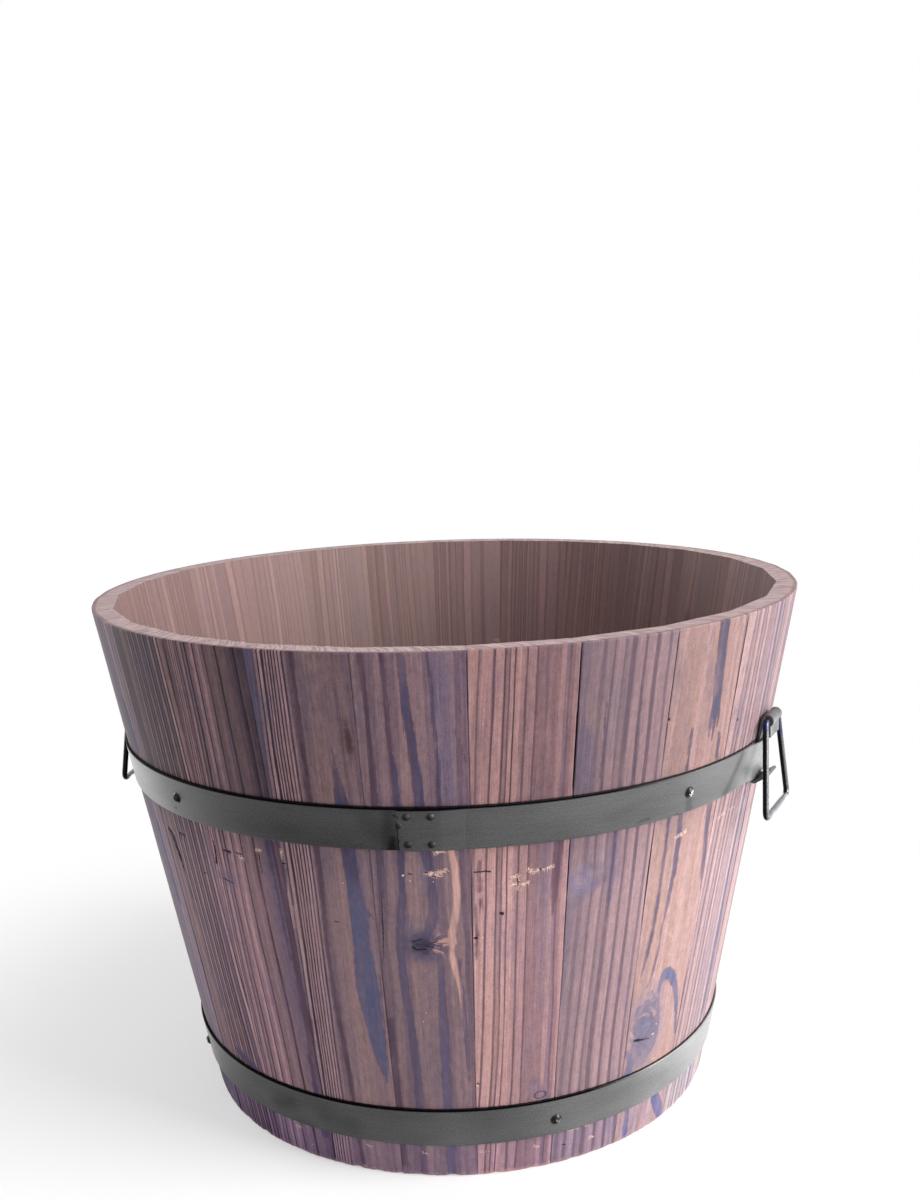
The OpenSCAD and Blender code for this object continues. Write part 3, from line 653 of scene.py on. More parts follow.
def figure_of(i):
    """Knots, streaks and marks of a stave, by chance where none are set."""
    figure = SimpleNamespace(
        knots=KNOTS.get(i, []), rings=RINGS.get(i, []), streaks=STREAKS.get(i, []), pales=PALES.get(i, []),
        purples=PURPLES.get(i, []), hazes=HAZES.get(i, []), chips=CHIPS.get(i, []), cracks=CRACKS.get(i, []),
    )
    if i in BANDS or i in SLANTED:
        return figure
    rng = np.random.RandomState(40 + i)
    mid = stave_az(i)
    if rng.rand() < 0.55:
        w = rng.uniform(3, 8)
        figure.knots = [(mid + rng.uniform(-4, 4), rng.uniform(70, 330), w, w * rng.uniform(0.9, 1.8), w * 0.6)]
    for _ in range(rng.randint(0, 3)):
        az, z0, z1 = mid + rng.uniform(-6, 6), rng.uniform(20, 160), rng.uniform(190, 350)
        w = rng.uniform(0.8, 3.6)
        figure.streaks.append([
            (az + rng.uniform(-0.5, 0.5), float(z), w * share)
            for z, share in zip(np.linspace(z0, z1, 6), (0.1, 0.8, 1.0, 0.9, 0.7, 0.1))
        ])
    for _ in range(rng.randint(0, 3)):
        az, z = mid + rng.uniform(-6, 5), rng.choice([219.0, 18.0, 268.0]) + rng.uniform(-3, 3)
        figure.chips.append([(az, z, 0.5), (az + rng.uniform(0.5, 1.4), z + rng.uniform(-1, 1), 0.8)])
    if rng.rand() < 0.4:
        az, z = mid + rng.uniform(-5, 5), rng.uniform(80, 300)
        figure.cracks.append([(az, z, 0.3), (az + 0.1, z + rng.uniform(8, 30), 0.5), (az, z + 36, 0.1)])
    return figure


# ---------------------------------------------------------------- stave wood

def shade_of(i):
    if i in SHADES:
        return SHADES[i]
    rng = np.random.RandomState(90 + i)
    gain = rng.uniform(0.95, 1.25)
    return (gain * rng.uniform(0.97, 1.05), gain * rng.uniform(0.96, 1.0), gain * rng.uniform(0.94, 1.04))


class StaveWood(Nodes):
    """Charred softwood of a stave. Each layer takes the colour under it and gives the new one."""

    def __init__(self, i, figure):
        super().__init__(f"stave_wood_{i:02d}")
        self.i, self.figure = i, figure
        self.mid, self.seed = stave_az(i), i * 7.3
        self.wood = {name: tone(name, shade_of(i)) for name in TONES}
        self.profile = profile_of(i, self.wood)
        self.grain, self.height = self.attr("grain"), self.attr("height")
        self.waver = self.field(0.6, 0.05, 3)
        self.fibre = self.field(1.5, 0.035, 9, 4.0, 0.65)
        self.streak = self.field(0.45, 0.008, 5, 4.0, 0.6)
        self.mottle = self.field(0.35, 0.16, 17, 4.0, 0.65)
        self.blot = self.field(0.06, 0.02, 13)
        self.speck = self.field(1.4, 0.9, 11)
        self.contour = self.field(0.75, 0.95, 33, 2.0)
        self.place = self.vec(self.attr("across"), self.height, 0.0)
        self.warp = self.vec(*(swing(self.field(0.3, 0.3, k, 3.0, 0.6), 1.0) for k in (19, 29)), 0.0)

    def field(self, across, along, offset, detail=3.0, rough=0.5):
        """Noise with its own number of waves per mm across and along the grain."""
        place = self.vec(self.grain * across, self.height * along, self.seed + offset)
        return self.noise(place, detail=detail, rough=rough)

    def marks(self, lines, warp):
        """Distance to the nearest of some lines, seen from a place warped by a number of mm."""
        return self.nearest(self.shift(self.place, self.warp, warp), local_lines(lines, self.mid))

    def bands(self):
        """The profile across the stave, laid over colour ramps side by side."""
        drift = self.field(0.05, 0.009, 0, 2.0)
        place = (self.grain + swing(drift, 3.6) + swing(self.waver, 0.5)) / SPAN + 0.5
        wide, colour = 1.0 / RAMPS, None
        for part in range(RAMPS):
            colours = self.profile[part * (STOPS - 1):][:STOPS]
            stops = [(k / (STOPS - 1), tuple(stop)) for k, stop in enumerate(colours)]
            piece = self.ramp((place - part * wide) / wide, stops)
            if colour is not None:
                piece = self.mix(self.math("GREATER_THAN", place, part * wide), colour, piece)
            colour = piece
        return colour

    def clouds(self, colour):
        """Lines fade in and out along the stave, over broad clouds of brown and blue."""
        for name, value, start, end, share in (
            ("M", self.streak, 0.4, 0.64, 0.28), ("T", self.streak, 0.42, 0.26, 0.28),
            ("b", self.attr("haze"), 3.0, -3.0, 0.62), ("b", self.blot, 0.5, 0.75, 0.35),
            ("t", self.blot, 0.48, 0.28, 0.3),
        ):
            colour = self.lay(colour, self.wood[name], value, start, end, share)
        light = swing(self.fibre, 0.8) + swing(self.speck, 0.6) + (swing(self.mottle, 0.7) + 1.0)
        return self.lit(colour, light)

    def streaks(self, colour):
        """Pale streaks, dark purple ones, and blue-grey ones that darken along their edges."""
        wood = self.wood
        soft = swing(self.waver, 1.4) + swing(self.fibre, 2.6) + swing(self.mottle, 2.0)
        patchy = self.step(self.field(0.12, 0.03, 27), 0.3, 0.6, 0.62, 1.0)
        pale, purple, blue = (self.attr(name) + soft for name in ("pale", "purple", "blue"))
        bright = tinted(wood["P"], PALE_GAINS.get(self.i, (1.1, 1.1, 1.1)))
        bright = self.lay(scaled(bright, 0.85), scaled(bright, 1.1), self.fibre, 0.35, 0.65)
        dusk = self.lay(wood["B"], wood["D"], self.streak, 0.35, 0.75, 0.7)
        dusk = self.lay(dusk, wood["b"], self.mottle, 0.45, 0.75, 0.3)
        dusk = self.lay(dusk, wood["m"], self.fibre, 0.5, 0.8, 0.22)
        if self.i in BLUE_TINTS:
            tint, top = BLUE_TINTS[self.i]
            dusk = self.lay(dusk, self.tint(dusk, tint), self.height, top, top - 30.0)
        colour = self.mix(self.step(pale, 0.7, -0.8, 0.0, 0.85) * patchy, colour, bright)
        colour = self.mix(self.step(purple, 1.0, -0.8, 0.0, 0.85) * patchy, colour, wood["D"])
        colour = self.mix(self.step(blue, 0.9, -0.8, 0.0, 0.9) * patchy, colour, dusk)
        return self.mix(self.step(blue, 0.9, 0.1) * self.step(blue, -0.9, -0.1) * 0.32, colour, wood["D"])

    def knots(self, colour):
        """A knot's rings round a dark heart; on one stave pink fibres radiate from its right."""
        heart, body, halo, show = KNOT_TONES.get(self.i, OTHER_KNOT)
        waves, curl_gain = KNOT_GRAINS.get(self.i, OTHER_GRAIN)
        x, z = self.attr("knot_x"), self.attr("knot_z")
        knot = self.vmath("LENGTH", self.shift(self.vec(x, z, 0.0), self.warp, 1.3))
        rings = self.math("SINE", knot * waves + self.blot * 9.0)
        arcs = self.step(rings, -0.5, 0.9, 0.0, 0.9) * self.step(self.blot, 0.35, 0.55, 0.45, 1.0)
        wood = self.mix(arcs, srgb(*scaled(body, 1.14)), srgb(*scaled(body, 0.78)))
        curl = self.noise(self.vec(x * 1.3, z * 3.2, self.seed), detail=4.0, rough=0.6, distortion=1.6)
        core = self.lay(srgb(*heart), srgb(*scaled(heart, curl_gain)), curl, 0.4, 0.66)
        wood = self.lay(wood, core, knot, 0.8, 0.3, show[0])
        colour = self.lay(colour, srgb(*halo), knot, 2.2, 0.9, show[2])
        colour = self.lay(colour, wood, knot, 1.3, 0.6, show[1])
        if self.i == FAN_STAVE:
            turn = self.math("ARCTAN2", z, x)
            rays = self.noise(self.vec(turn * 4.2, knot * 0.9, self.seed), rough=0.6)
            reach = self.step(knot, 0.45, 0.85) * self.step(knot, 1.95, 1.45)
            shown = self.step(abs(turn), 1.25, 0.5) * reach * self.step(rays, 0.43, 0.54, 0.0, 0.9)
            colour = self.mix(shown, colour, tone("O", (1.4, 1.25, 1.3)))
        return colour

    def patches(self, colour):
        """The ring left by a small knot, and pinkish patches."""
        if self.figure.rings:
            colour = self.lay(colour, srgb(58, 44, 52), abs(self.attr("ring_mark") - 1.0), 0.22, 0.08, 0.75)
        if self.i in FANS:
            fan = self.marks(FANS[self.i], 2.5) + swing(self.speck, 0.8) + swing(self.contour, 2.2)
            colour = self.lay(colour, self.wood["P"], fan, 1.2, -1.0, 0.6)
        return colour

    def weather(self, colour):
        """Darker towards the rim, a painted shadow over the top of the staves; bluish at the foot, with painted
        shade darker on the left staves; worn pale along the foot's edge.
        """
        gamma = RIM_CONTRASTS.get(self.i, 1.2)
        # Painted shadow: the wood darkens from 190 mm up to the upper hoop's edge and stays darker above it.
        rim_shadow = self.add("Gamma", {"Color": colour, "Gamma": gamma}).outputs[0]
        means = self.profile[:, :3].mean(axis=0)
        gains = tuple(t * float(mean) ** (1 - gamma) for t, mean in zip((1.0, 0.95, 0.97), means))
        rim_shadow = self.tint(rim_shadow, scaled(gains, RIM_SHADES.get(self.i, 0.74)))
        colour = self.lay(colour, rim_shadow, self.height, 190.0, 262.0)
        # Painted shade at the foot: darker on the left staves, lighter on the right.
        foot_shade = self.tint(colour, FOOT_TINTS.get(self.i, (0.98, 1.0, 1.18)))
        colour = self.lay(colour, foot_shade, self.height, 52.0, 25.0, 0.9)
        worn = self.height + (swing(self.streak, 7.0) + swing(self.fibre, 3.0))
        return self.lay(colour, scaled(self.wood["P"], 1.2), worn, 3.4, 0.6, 0.5)

    def damage(self, colour):
        """Bare wood in the chips, a ragged fill with thin filaments round it; sooty cracks and joints, and painted
        shade just above each hoop.
        """
        if self.figure.chips:
            chip = self.marks(self.figure.chips, 4.0)
            near = self.step(chip, 1.3, 0.5)
            shadow = self.step(abs(self.contour - 0.4), 0.06, 0.02, 0.0, 0.85)
            thread = self.step(abs(self.contour - 0.5), 0.05, 0.012, 0.0, 0.85)
            fill = self.step(chip, 0.3, -0.5) * self.step(self.contour, 0.36, 0.56, 0.25, 0.9)
            colour = self.mix(near * shadow, colour, srgb(70, 46, 48))
            colour = self.mix(fill, colour, srgb(214, 172, 152))
            colour = self.mix(near * thread, colour, srgb(240, 205, 190))
        for specks in local_lines(SPECKS.get(self.i, []), self.mid):
            for x, z, size in specks:
                gap = self.vmath("DISTANCE", self.shift(self.place, self.warp, 3.0), (x, z, 0.0))
                colour = self.lay(colour, srgb(236, 210, 198), gap, size, 0.3 * size, 0.9)
        if self.figure.cracks:
            crack = self.marks(self.figure.cracks, 1.5) + swing(self.speck, 0.5)
            colour = self.lay(colour, srgb(22, 14, 20), crack, 0.3, -0.15, 0.97)
        return self.lay(colour, srgb(24, 15, 20), self.attr("soot_and_shade") + swing(self.streak, 0.7), 0.25, 0.9, 0.96)

    def faces(self, colour):
        """Inside and edges planed and less charred; ends of pale end grain with its rings."""
        depth, kind = self.attr("depth"), self.attr("kind")
        colour = self.lay(colour, self.mix(0.5, colour, tone("t", (1.0, 0.97, 0.92))), kind, 0.2, 0.8)
        arc = self.grain + self.math("POWER", depth, 2.0) * 0.03
        arcs = self.noise(self.vec(arc * 0.7, depth * 0.06, self.seed + 21))
        pores = self.noise(self.vec(self.grain * 2.2, depth * 2.2, self.seed + 23), detail=2.0)
        end = self.lay(srgb(196, 172, 172), srgb(150, 122, 122), arcs, 0.35, 0.65)
        end = self.lay(end, srgb(112, 88, 92), pores, 0.5, 0.72, 0.45)
        return self.lay(colour, end, kind, 1.2, 1.8)

    def build(self):
        colour = self.streaks(self.clouds(self.bands()))
        if self.figure.knots:
            colour = self.knots(colour)
        colour = self.faces(self.damage(self.weather(self.patches(colour))))
        normal = self.bump(self.fibre * 0.6 + self.streak * 0.4, 0.5, 0.0006)
        return self.finish(self.shader("BsdfPrincipled", {
            "Base Color": colour, "Roughness": self.step(self.fibre, 0.2, 0.8, 0.52, 0.7),
            "Normal": self.bump(self.speck, 0.25, 0.0002, normal), "Specular IOR Level": 0.4,
        }))


# ---------------------------------------------------------------- stave meshes

def stave_columns():
    """Places across a stave, -1 to 1, close together beside the joints."""
    half = 32.6
    edge = np.array([0.0, 0.3, 0.65, 1.05, 1.6, 2.4])
    middle = np.linspace(-half + 3.8, half - 3.8, 33)
    return np.concatenate([-half + edge, middle, half - edge[::-1]]) / half


def stave_rows():
    """Heights of a stave's rows, close together at its ends, at the croze and above the hoops."""
    ends = [0.0, 0.25, 0.7, 1.4, 2.4, 3.6, 4.8, 351.8, 353.2, 354.2, 355.0, 355.45, 355.8, HEIGHT]
    extra = [z + step for z in (CROZE_LOW, CROZE_HIGH) for step in (-0.02, 0.02)]
    extra += [z + step for z in HOOP_TOPS for step in (-1.4, 0, 0.7, 1.4)]
    even = [z for z in np.arange(6.0, 351.0, 2.6) if min(abs(z - other) for other in extra) > 0.5]
    return np.array(sorted(ends + even + extra))


COLUMNS, ROWS, LAYERS = stave_columns(), stave_rows(), 5
SA, SB, SC, STAVE_QUADS = lattice(len(COLUMNS), len(ROWS), LAYERS)


def joint_soot(j, z):
    """Strength of the soot in a joint at a height."""
    base = 0.14 + 0.1 * ripple(300 + j, 0.0, z, 0.0, 0.05)
    for low, high, strength in OPEN_JOINTS.get(j, [(0, HEIGHT, 0.3)]):
        base = base + strength * np.clip((z - low) / 6, 0, 1) * np.clip((high - z) / 6, 0, 1)
    return np.clip(base, 0.02, 1.3)


def build_stave(i):
    mid, figure = stave_az(i), figure_of(i)
    z, layer, phi = ROWS[SB], SC / (LAYERS - 1), HALF_STAVE * COLUMNS[SA]
    r_wall = wall_r(z)
    x = np.radians(phi) * r_wall
    is_out, is_in = SC == 0, SC == LAYERS - 1
    is_foot, is_rim = SB == 0, SB == len(ROWS) - 1
    is_end = is_foot | is_rim

    def nearest(lines):
        best = np.full(len(x), 50.0)
        for line in local_lines(lines, mid):
            best = np.minimum(best, along_line(x, z, line))
        return best

    def seen_from(az, height, half_width, half_height):
        """Places as a spot sees them, in its own half widths and half heights."""
        return (x - math.radians(az - mid) * wall_r(height)) / half_width, (z - height) / half_height

    blue, purple, pale, haze, chip, crack = (
        nearest(lines) for lines in
        (figure.streaks, figure.purples, figure.pales, figure.hazes, figure.chips, figure.cracks))
    lean = LEANS.get(i, np.random.RandomState(11 + i).uniform(-0.02, 0.02))
    grain = x - lean * (z - 240) + 0.8 * ripple(500 + i, x, z, 0.02, 0.03)
    knot, knot_x, knot_z, ring_mark = (np.full(len(x), 9.0) for _ in range(4))
    for *spot, push in figure.knots:
        knot_x, knot_z = seen_from(*spot)
        knot = np.hypot(knot_x, knot_z)
        aside = knot_x / np.sqrt(knot_x * knot_x + 1)
        grain = grain - push * aside * np.exp(-(knot_z / 2.4) ** 2 - np.abs(knot_x) / 2.6)
    for spot in figure.rings:
        ring_mark = np.hypot(*seen_from(*spot))

    # sooty joints with worn edges on either side, and painted shade on the wood just above the hoops
    soot_and_shade, vee = np.zeros(len(x)), np.zeros(len(x))
    worn = 0.2 * ripple(600 + i, x, z, 0.0, 0.09)
    for side, joint in ((-1, (i - 1) % STAVES), (1, i % STAVES)):
        gap = np.radians(PITCH / 2 - side * phi) * r_wall
        strength = joint_soot(joint, z)
        soot_and_shade = np.maximum(soot_and_shade, 2.2 * strength * np.clip(1 - gap / (0.4 + 0.6 * strength), 0, 1))
        vee += np.clip(0.45 - side * worn + 0.7 * (strength > 0.7) - gap, 0, None)
    # painted shade: a dark line on the wood along each hoop's upper edge, for the gap behind the hoop
    for edge in HOOP_TOPS:
        soot_and_shade = np.maximum(soot_and_shade, 1.3 * np.clip(1 - np.abs(z - edge), 0, 1))

    # relief of the outside, always inward
    relief = 0.28 + 0.11 * ripple(800 + i, grain, z, 1.6, 0.012, 9) + 0.1 * ripple(900 + i, x, z, 0.12, 0.03)
    relief += 0.7 * np.clip(0.5 - chip, 0, 1) + 1.0 * np.clip(0.5 - crack, 0, 1)
    relief += 0.25 * np.exp(-((knot - 0.2) / 0.5) ** 2) - 0.2 * np.exp(-((knot - 1.1) / 0.25) ** 2)
    relief = np.clip(relief, 0.02, None) + vee

    # rounded rim, worn foot with torn fibres
    rim_round = 1.2 + 0.3 * ripple(1100 + i, x, z, 0.2, 0.0)
    up = np.clip(z - (HEIGHT - rim_round), 0, rim_round) / rim_round
    relief += rim_round * (1 - np.sqrt(np.clip(1 - up * up, 0, 1)))
    torn = np.clip(ripple(1000 + i, x, z, 0.55, 0.0, 9), 0, None)
    foot_round = 0.9 + 0.9 * torn
    down = np.clip(foot_round - z, 0, foot_round) / foot_round
    relief += foot_round * 0.8 * down * down

    # flat inside with its croze
    r_in = (r_wall - STAVE_T + 0.05 * ripple(1200 + i, x, z, 0.3, 0.03)) / np.cos(np.radians(phi))
    r_in = np.where((z > CROZE_LOW) & (z < CROZE_HIGH), np.maximum(r_in, CROZE_R), r_in)
    r_out, depth = r_wall - relief, WOOD_T * layer
    foot_up = 0.7 * torn * np.clip(1 - layer * 4, 0, 1)
    rim_down = np.clip(0.2 + 0.1 * ripple(1300 + i, x, depth, 0.8, 0.4), 0.02, 0.4)
    points = polar(mid + phi, r_out + (r_in - r_out) * layer, z + is_foot * foot_up - is_rim * rim_down)

    # kind is 0 outside, 1 on the inside and the edges, 2 on the ends; lines are far from all but the outside
    soot_and_shade[~is_out] = 0.4
    soot_and_shade[is_in | is_end] = 0.0
    far = 50.0 * ~is_out
    obj = make_mesh(f"stave_wood_{i:02d}", points, STAVE_QUADS, {
        "grain": grain, "height": z, "across": x + far, "depth": depth, "kind": 1.0 * is_end + ~is_out,
        "knot_x": knot_x, "knot_z": knot_z, "blue": blue + far, "purple": purple + far, "haze": haze + far,
        "pale": pale + far, "soot_and_shade": soot_and_shade, "ring_mark": ring_mark + far,
    })
    sharpen(obj)
    obj.data.materials.append(StaveWood(i, figure).build())
    node = f"stave_{i:02d}"
    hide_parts(node)
    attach(obj, "barrel")


for number in range(1, STAVES + 1):
    build_stave(number)

# ---------------------------------------------------------------- hoops

# Painted reflection round each hoop: azimuth and share of light grey, brighter at the sides and on the right,
# where the steel's sheen would be bright.
UPPER_SHEEN = read_line(
    "-180 0.2, -60 0.45, -44 0.42, -38 0.3, -32 0.12, -8 0.05, 4 0.11, 16 0.15, 22 0.18, 28 0.13, 34 0.09, "
    "44 0.06, 52 0.055, 64 0.2, 70 0.2, 76 0.6, 180 0.2")
LOWER_SHEEN = read_line(
    "-180 0.25, -60 0.3, -44 0.26, -26 0.5, -8 0.4, 6 0.38, 16 0.4, 22 0.2, 28 0.17, 34 0.22, 46 0.25, "
    "52 0.4, 60 0.9, 72 1, 100 0.5, 180 0.25")

# Dark marks of each hoop, stain marks and painted shadow along the lap's edge, round the screw heads and under the
# hoop by the right handle: azimuth, place across and half width at both ends, softness, strength.
UPPER_STAINS_AND_SHADE = read_line(
    "9.6 2 0.1 9.62 -13.5 0.3 0.5 0.95, 9.62 3.2 0.4 9.62 0.6 0.5 0.8 0.7, 8.3 12 1.4 8.3 -13 2.4 4.5 0.4, "
    "8.9 -5.5 0.4 8.7 -13 2.2 3 0.75, 9.2 9.5 0.3 9.9 9 0.4 1 0.7, 5.5 6 4 8 -4 6 8 0.25, "
    "56.2 0.3 3.3 56.3 0 3.3 0.8 0.9, 56.4 -4 1.6 56.8 -13 2.6 3 0.35, -30.7 0 3.3 -30.6 0 3.3 0.8 0.9, "
    "-32.4 -8.6 0.3 -31.4 -8 0.3 1 0.6, 70.6 11 1.6 66.6 -12 2.2 3.5 0.4, "
    "46.3 -10.8 0.2 48.3 -10 0.5 1.4 0.35, 54 -12.8 0.3 55 -13.4 0.3 0.5 0.8, 78.5 -13 1.5 83.5 -11.5 1.5 3 0.7")
LOWER_STAINS_AND_SHADE = read_line(
    "35.4 -2 3.3 35.3 -2 3.3 0.8 0.9, -22 -4 1 -18 1 2 9 0.35, -9.5 -2 2 -4 -4 2 11 0.25, "
    "-53.6 -2 3.3 -53.5 -2 3.3 0.8 0.9")


def hoop_steel(name, seed, stains_and_shade):
    """Dull grey strip, rolled along its length, with blotches, stain marks and a black upper edge; a painted
    reflection lightens it, some of the dark marks are painted shadow, and the black edge is partly painted shadow
    of the gap behind it.
    """
    n = Nodes(name)
    along, across, edge = (n.attr(key) for key in ("along", "across", "edge"))

    def field(run, rise, offset, detail=3.0):
        return n.noise(n.vec(along * run, across * rise, seed + offset), detail=detail)

    cloud, smudge = field(0.012, 0.05, 0, 4.0), field(0.16, 0.2, 7, 4.0)
    brush, grit = field(0.05, 1.6, 3), field(1.1, 1.1, 5)
    # painted reflection: lighter grey where the steel's sheen would be bright
    colour = n.mix(n.attr("painted_sheen"), (0.125, 0.125, 0.127, 1.0), grey(0.45))
    colour = n.lit(colour, swing(cloud, 0.8) + swing(brush, 0.4) + swing(grit, 1.2) + 1.0)
    place = n.shift(n.vec(along, across, 0.0), n.vec(smudge - 0.5, grit - 0.5, 0.0), 3.0)
    # stain marks, and painted shadow along the lap's edge, round the screws and by the handle
    for start, end, soft, strength in stains_and_shade:
        colour = n.lay(colour, srgb(15, 14, 16), n.stretch(place, start, end), soft, -0.4 * soft, strength)
    # the black upper edge is partly painted shadow of the gap between strip and wall
    return n.finish(n.shader("BsdfPrincipled", {
        "Base Color": n.mix(edge, colour, srgb(7, 6, 9)), "Metallic": 0.75,
        "Roughness": n.step(cloud, 0.3, 0.75, 0.36, 0.5) + edge * 0.3,
        "Normal": n.bump(brush + grit, 0.3, 0.0002), "Specular IOR Level": 0.5 - edge * 0.4,
    }))


def hoop_strip(z_mid, az, low, high, seed, closed):
    """Points, quads, azimuths and places across of a strip that reaches from low to high off the wall."""
    rows = np.array([-13.5, -13.35, -13.1, -12.4, -9, -4.5, 0, 4.5, 9, 12.4, 13.1, 13.35, 13.5])
    wave = 0.05 * ripple(seed, 0.0, az, 0.0, 0.12)
    profile = []
    for v, face, way in [(v, high + wave, -1) for v in rows] + [(v, low, 1) for v in rows[::-1]]:
        out = face + way * 0.35 * max(0.0, (abs(v) - 13.1) / 0.4) ** 2
        slope = z_mid / math.cos(TILT) + v
        r = FOOT_R + slope * math.sin(TILT) + out * math.cos(TILT)
        profile.append(polar(az, r, slope * math.cos(TILT) - out * math.sin(TILT)))
    m, count = len(profile), len(az)
    index = np.arange(m * count).reshape(m, count)
    ahead = np.roll(index, -1, axis=1)
    quads = np.stack([index, ahead, np.roll(ahead, -1, axis=0), np.roll(index, -1, axis=0)], -1)
    quads = quads.transpose(1, 0, 2)[:count if closed else count - 1].reshape(-1, 4)
    if not closed:
        caps = [index[[p, p + 1, m - 2 - p, m - 1 - p]] for p in range(m // 2 - 1)]
        quads = np.concatenate([quads, [q[:, 0] for q in caps], [q[::-1, -1] for q in caps]])
    return np.concatenate(profile), quads, np.tile(az, m), np.repeat(np.concatenate([rows, rows[::-1]]), count)


def build_hoop(name, z_mid, lap, saddles, seed, stains_and_shade, painted_sheen):
    r_mid = wall_r(z_mid)
    lap_deg, ramp_deg = (math.degrees(v / r_mid) for v in (LAP_LEN, LAP_RAMP))
    ring_az = np.linspace(lap - 180, lap + 180, 720, endpoint=False)
    over_az = np.linspace(lap, lap + lap_deg + ramp_deg, 48)

    # how far the pressed-out saddles stand off the plain strip
    lift = np.zeros_like(ring_az)
    for centre in saddles:
        d = np.radians(np.abs(wrapped(ring_az - centre))) * r_mid
        flat = (SADDLE_OFF - HOOP_ROOM) + d * d / 2 / r_mid * (d < SADDLE_FLAT)
        t = np.clip((SADDLE_END - d) / SADDLE_RAMP, 0, 1)
        lift = np.maximum(lift, flat * t * t * (3 - 2 * t))
    low = HOOP_ROOM + lift
    over_low = np.full_like(over_az, HOOP_ROOM + HOOP_T - 0.06)
    ramp = np.clip((over_az - lap - lap_deg) / ramp_deg, 0, 1)
    over_high = HOOP_ROOM + 2 * HOOP_T - (HOOP_T + 0.02) * ramp

    ring = hoop_strip(z_mid, ring_az, low, low + HOOP_T, seed, True)
    over = hoop_strip(z_mid, over_az, over_low, over_high, seed + 1, False)
    points, az, across = (np.concatenate([ring[k], over[k]]) for k in (0, 2, 3))
    quads = np.concatenate([ring[1], over[1] + len(ring[0])])
    az = wrapped(az)
    # painted shadow along the upper edge, for the gap behind the strip, weaker on the key-lit side from 42 to 120
    # degrees
    lit_side = np.clip((az - 42) / 16, 0, 1) * np.clip((120 - az) / 16, 0, 1)
    obj = make_mesh(name, points, quads, {
        "along": np.radians(az) * r_mid, "across": across,
        "painted_sheen": np.interp(az, *zip(*painted_sheen)) + 0.05 * ripple(seed + 5, az, 0.0, 0.15, 0.0),
        "edge": np.clip((across - 12.5) / 0.5, 0, 1) * (1 - 0.75 * lit_side),
    })
    sharpen(obj)
    full = math.radians(1.0) * r_mid
    marks = [((a0 * full, v0, h0), (a1 * full, v1, h1), soft, strength)
             for a0, v0, h0, a1, v1, h1, soft, strength in stains_and_shade]
    obj.data.materials.append(hoop_steel(name + "_steel", seed, marks))
    return obj


SADDLES = (HANDLE_AZ, -HANDLE_AZ)
upper = build_hoop("upper_hoop_strip", UPPER_Z, UPPER_LAP, SADDLES, 31, UPPER_STAINS_AND_SHADE, UPPER_SHEEN)
lower = build_hoop("lower_hoop_strip", LOWER_Z, LOWER_LAP, (), 47, LOWER_STAINS_AND_SHADE, LOWER_SHEEN)
for hoop, node in ((upper, "upper_hoop"), (lower, "lower_hoop")):
    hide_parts(node)
    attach(hoop, "barrel")

# ---------------------------------------------------------------- tack at the lap's edge

def build_tack(name, azimuth, z_mid, off, radius, height):
    """Small domed head on the lap's edge."""
    rings, turns = 7, 20
    a = np.repeat(math.pi / 2 * np.arange(rings) / rings, turns)
    b = np.tile(2 * math.pi * np.arange(turns) / turns, rings)
    dome = np.stack([radius * np.cos(a) * np.cos(b), radius * np.cos(a) * np.sin(b), height * np.sin(a)], -1)
    points = np.concatenate([[(0, 0, 0)], dome, [(0, 0, height)]])
    faces = []
    for t in range(turns):
        here, beside = (1 + u + turns * np.arange(rings) for u in (t, (t + 1) % turns))
        faces.append((0, beside[0], here[0]))
        faces += [(here[k], beside[k], beside[k + 1], here[k + 1]) for k in range(rings - 1)]
        faces.append((here[-1], beside[-1], len(points) - 1))
    az = math.radians(azimuth)
    out = np.array([math.sin(az) * math.cos(TILT), -math.cos(az) * math.cos(TILT), -math.sin(TILT)])
    across = np.array([math.cos(az), math.sin(az), 0.0])
    place = polar(azimuth, wall_r(z_mid) + off / math.cos(TILT), z_mid)
    tack = make_mesh(name, points @ np.array([across, np.cross(out, across), out]) + place, faces)
    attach(tack, "barrel")
    return tack


# ---------------------------------------------------------------- plain steels and board wood

def small_steel(name, base, rough, scale):
    """Dull or blackened steel of the small pieces."""
    n = Nodes(name)
    place = n.coord("Object")
    cloud, grit = n.noise(place, scale, 4.0), n.noise(place, scale * 9)
    colour = n.lay(base, scaled(base, 0.6), cloud, 0.35, 0.65)
    return n.finish(n.shader("BsdfPrincipled", {
        "Base Color": n.lay(colour, scaled(base, 1.7), grit, 0.55, 0.75, 0.4), "Metallic": 1.0,
        "Roughness": n.step(cloud, 0.3, 0.7, rough, rough + 0.14), "Normal": n.bump(grit, 0.2, 0.0002),
    }))


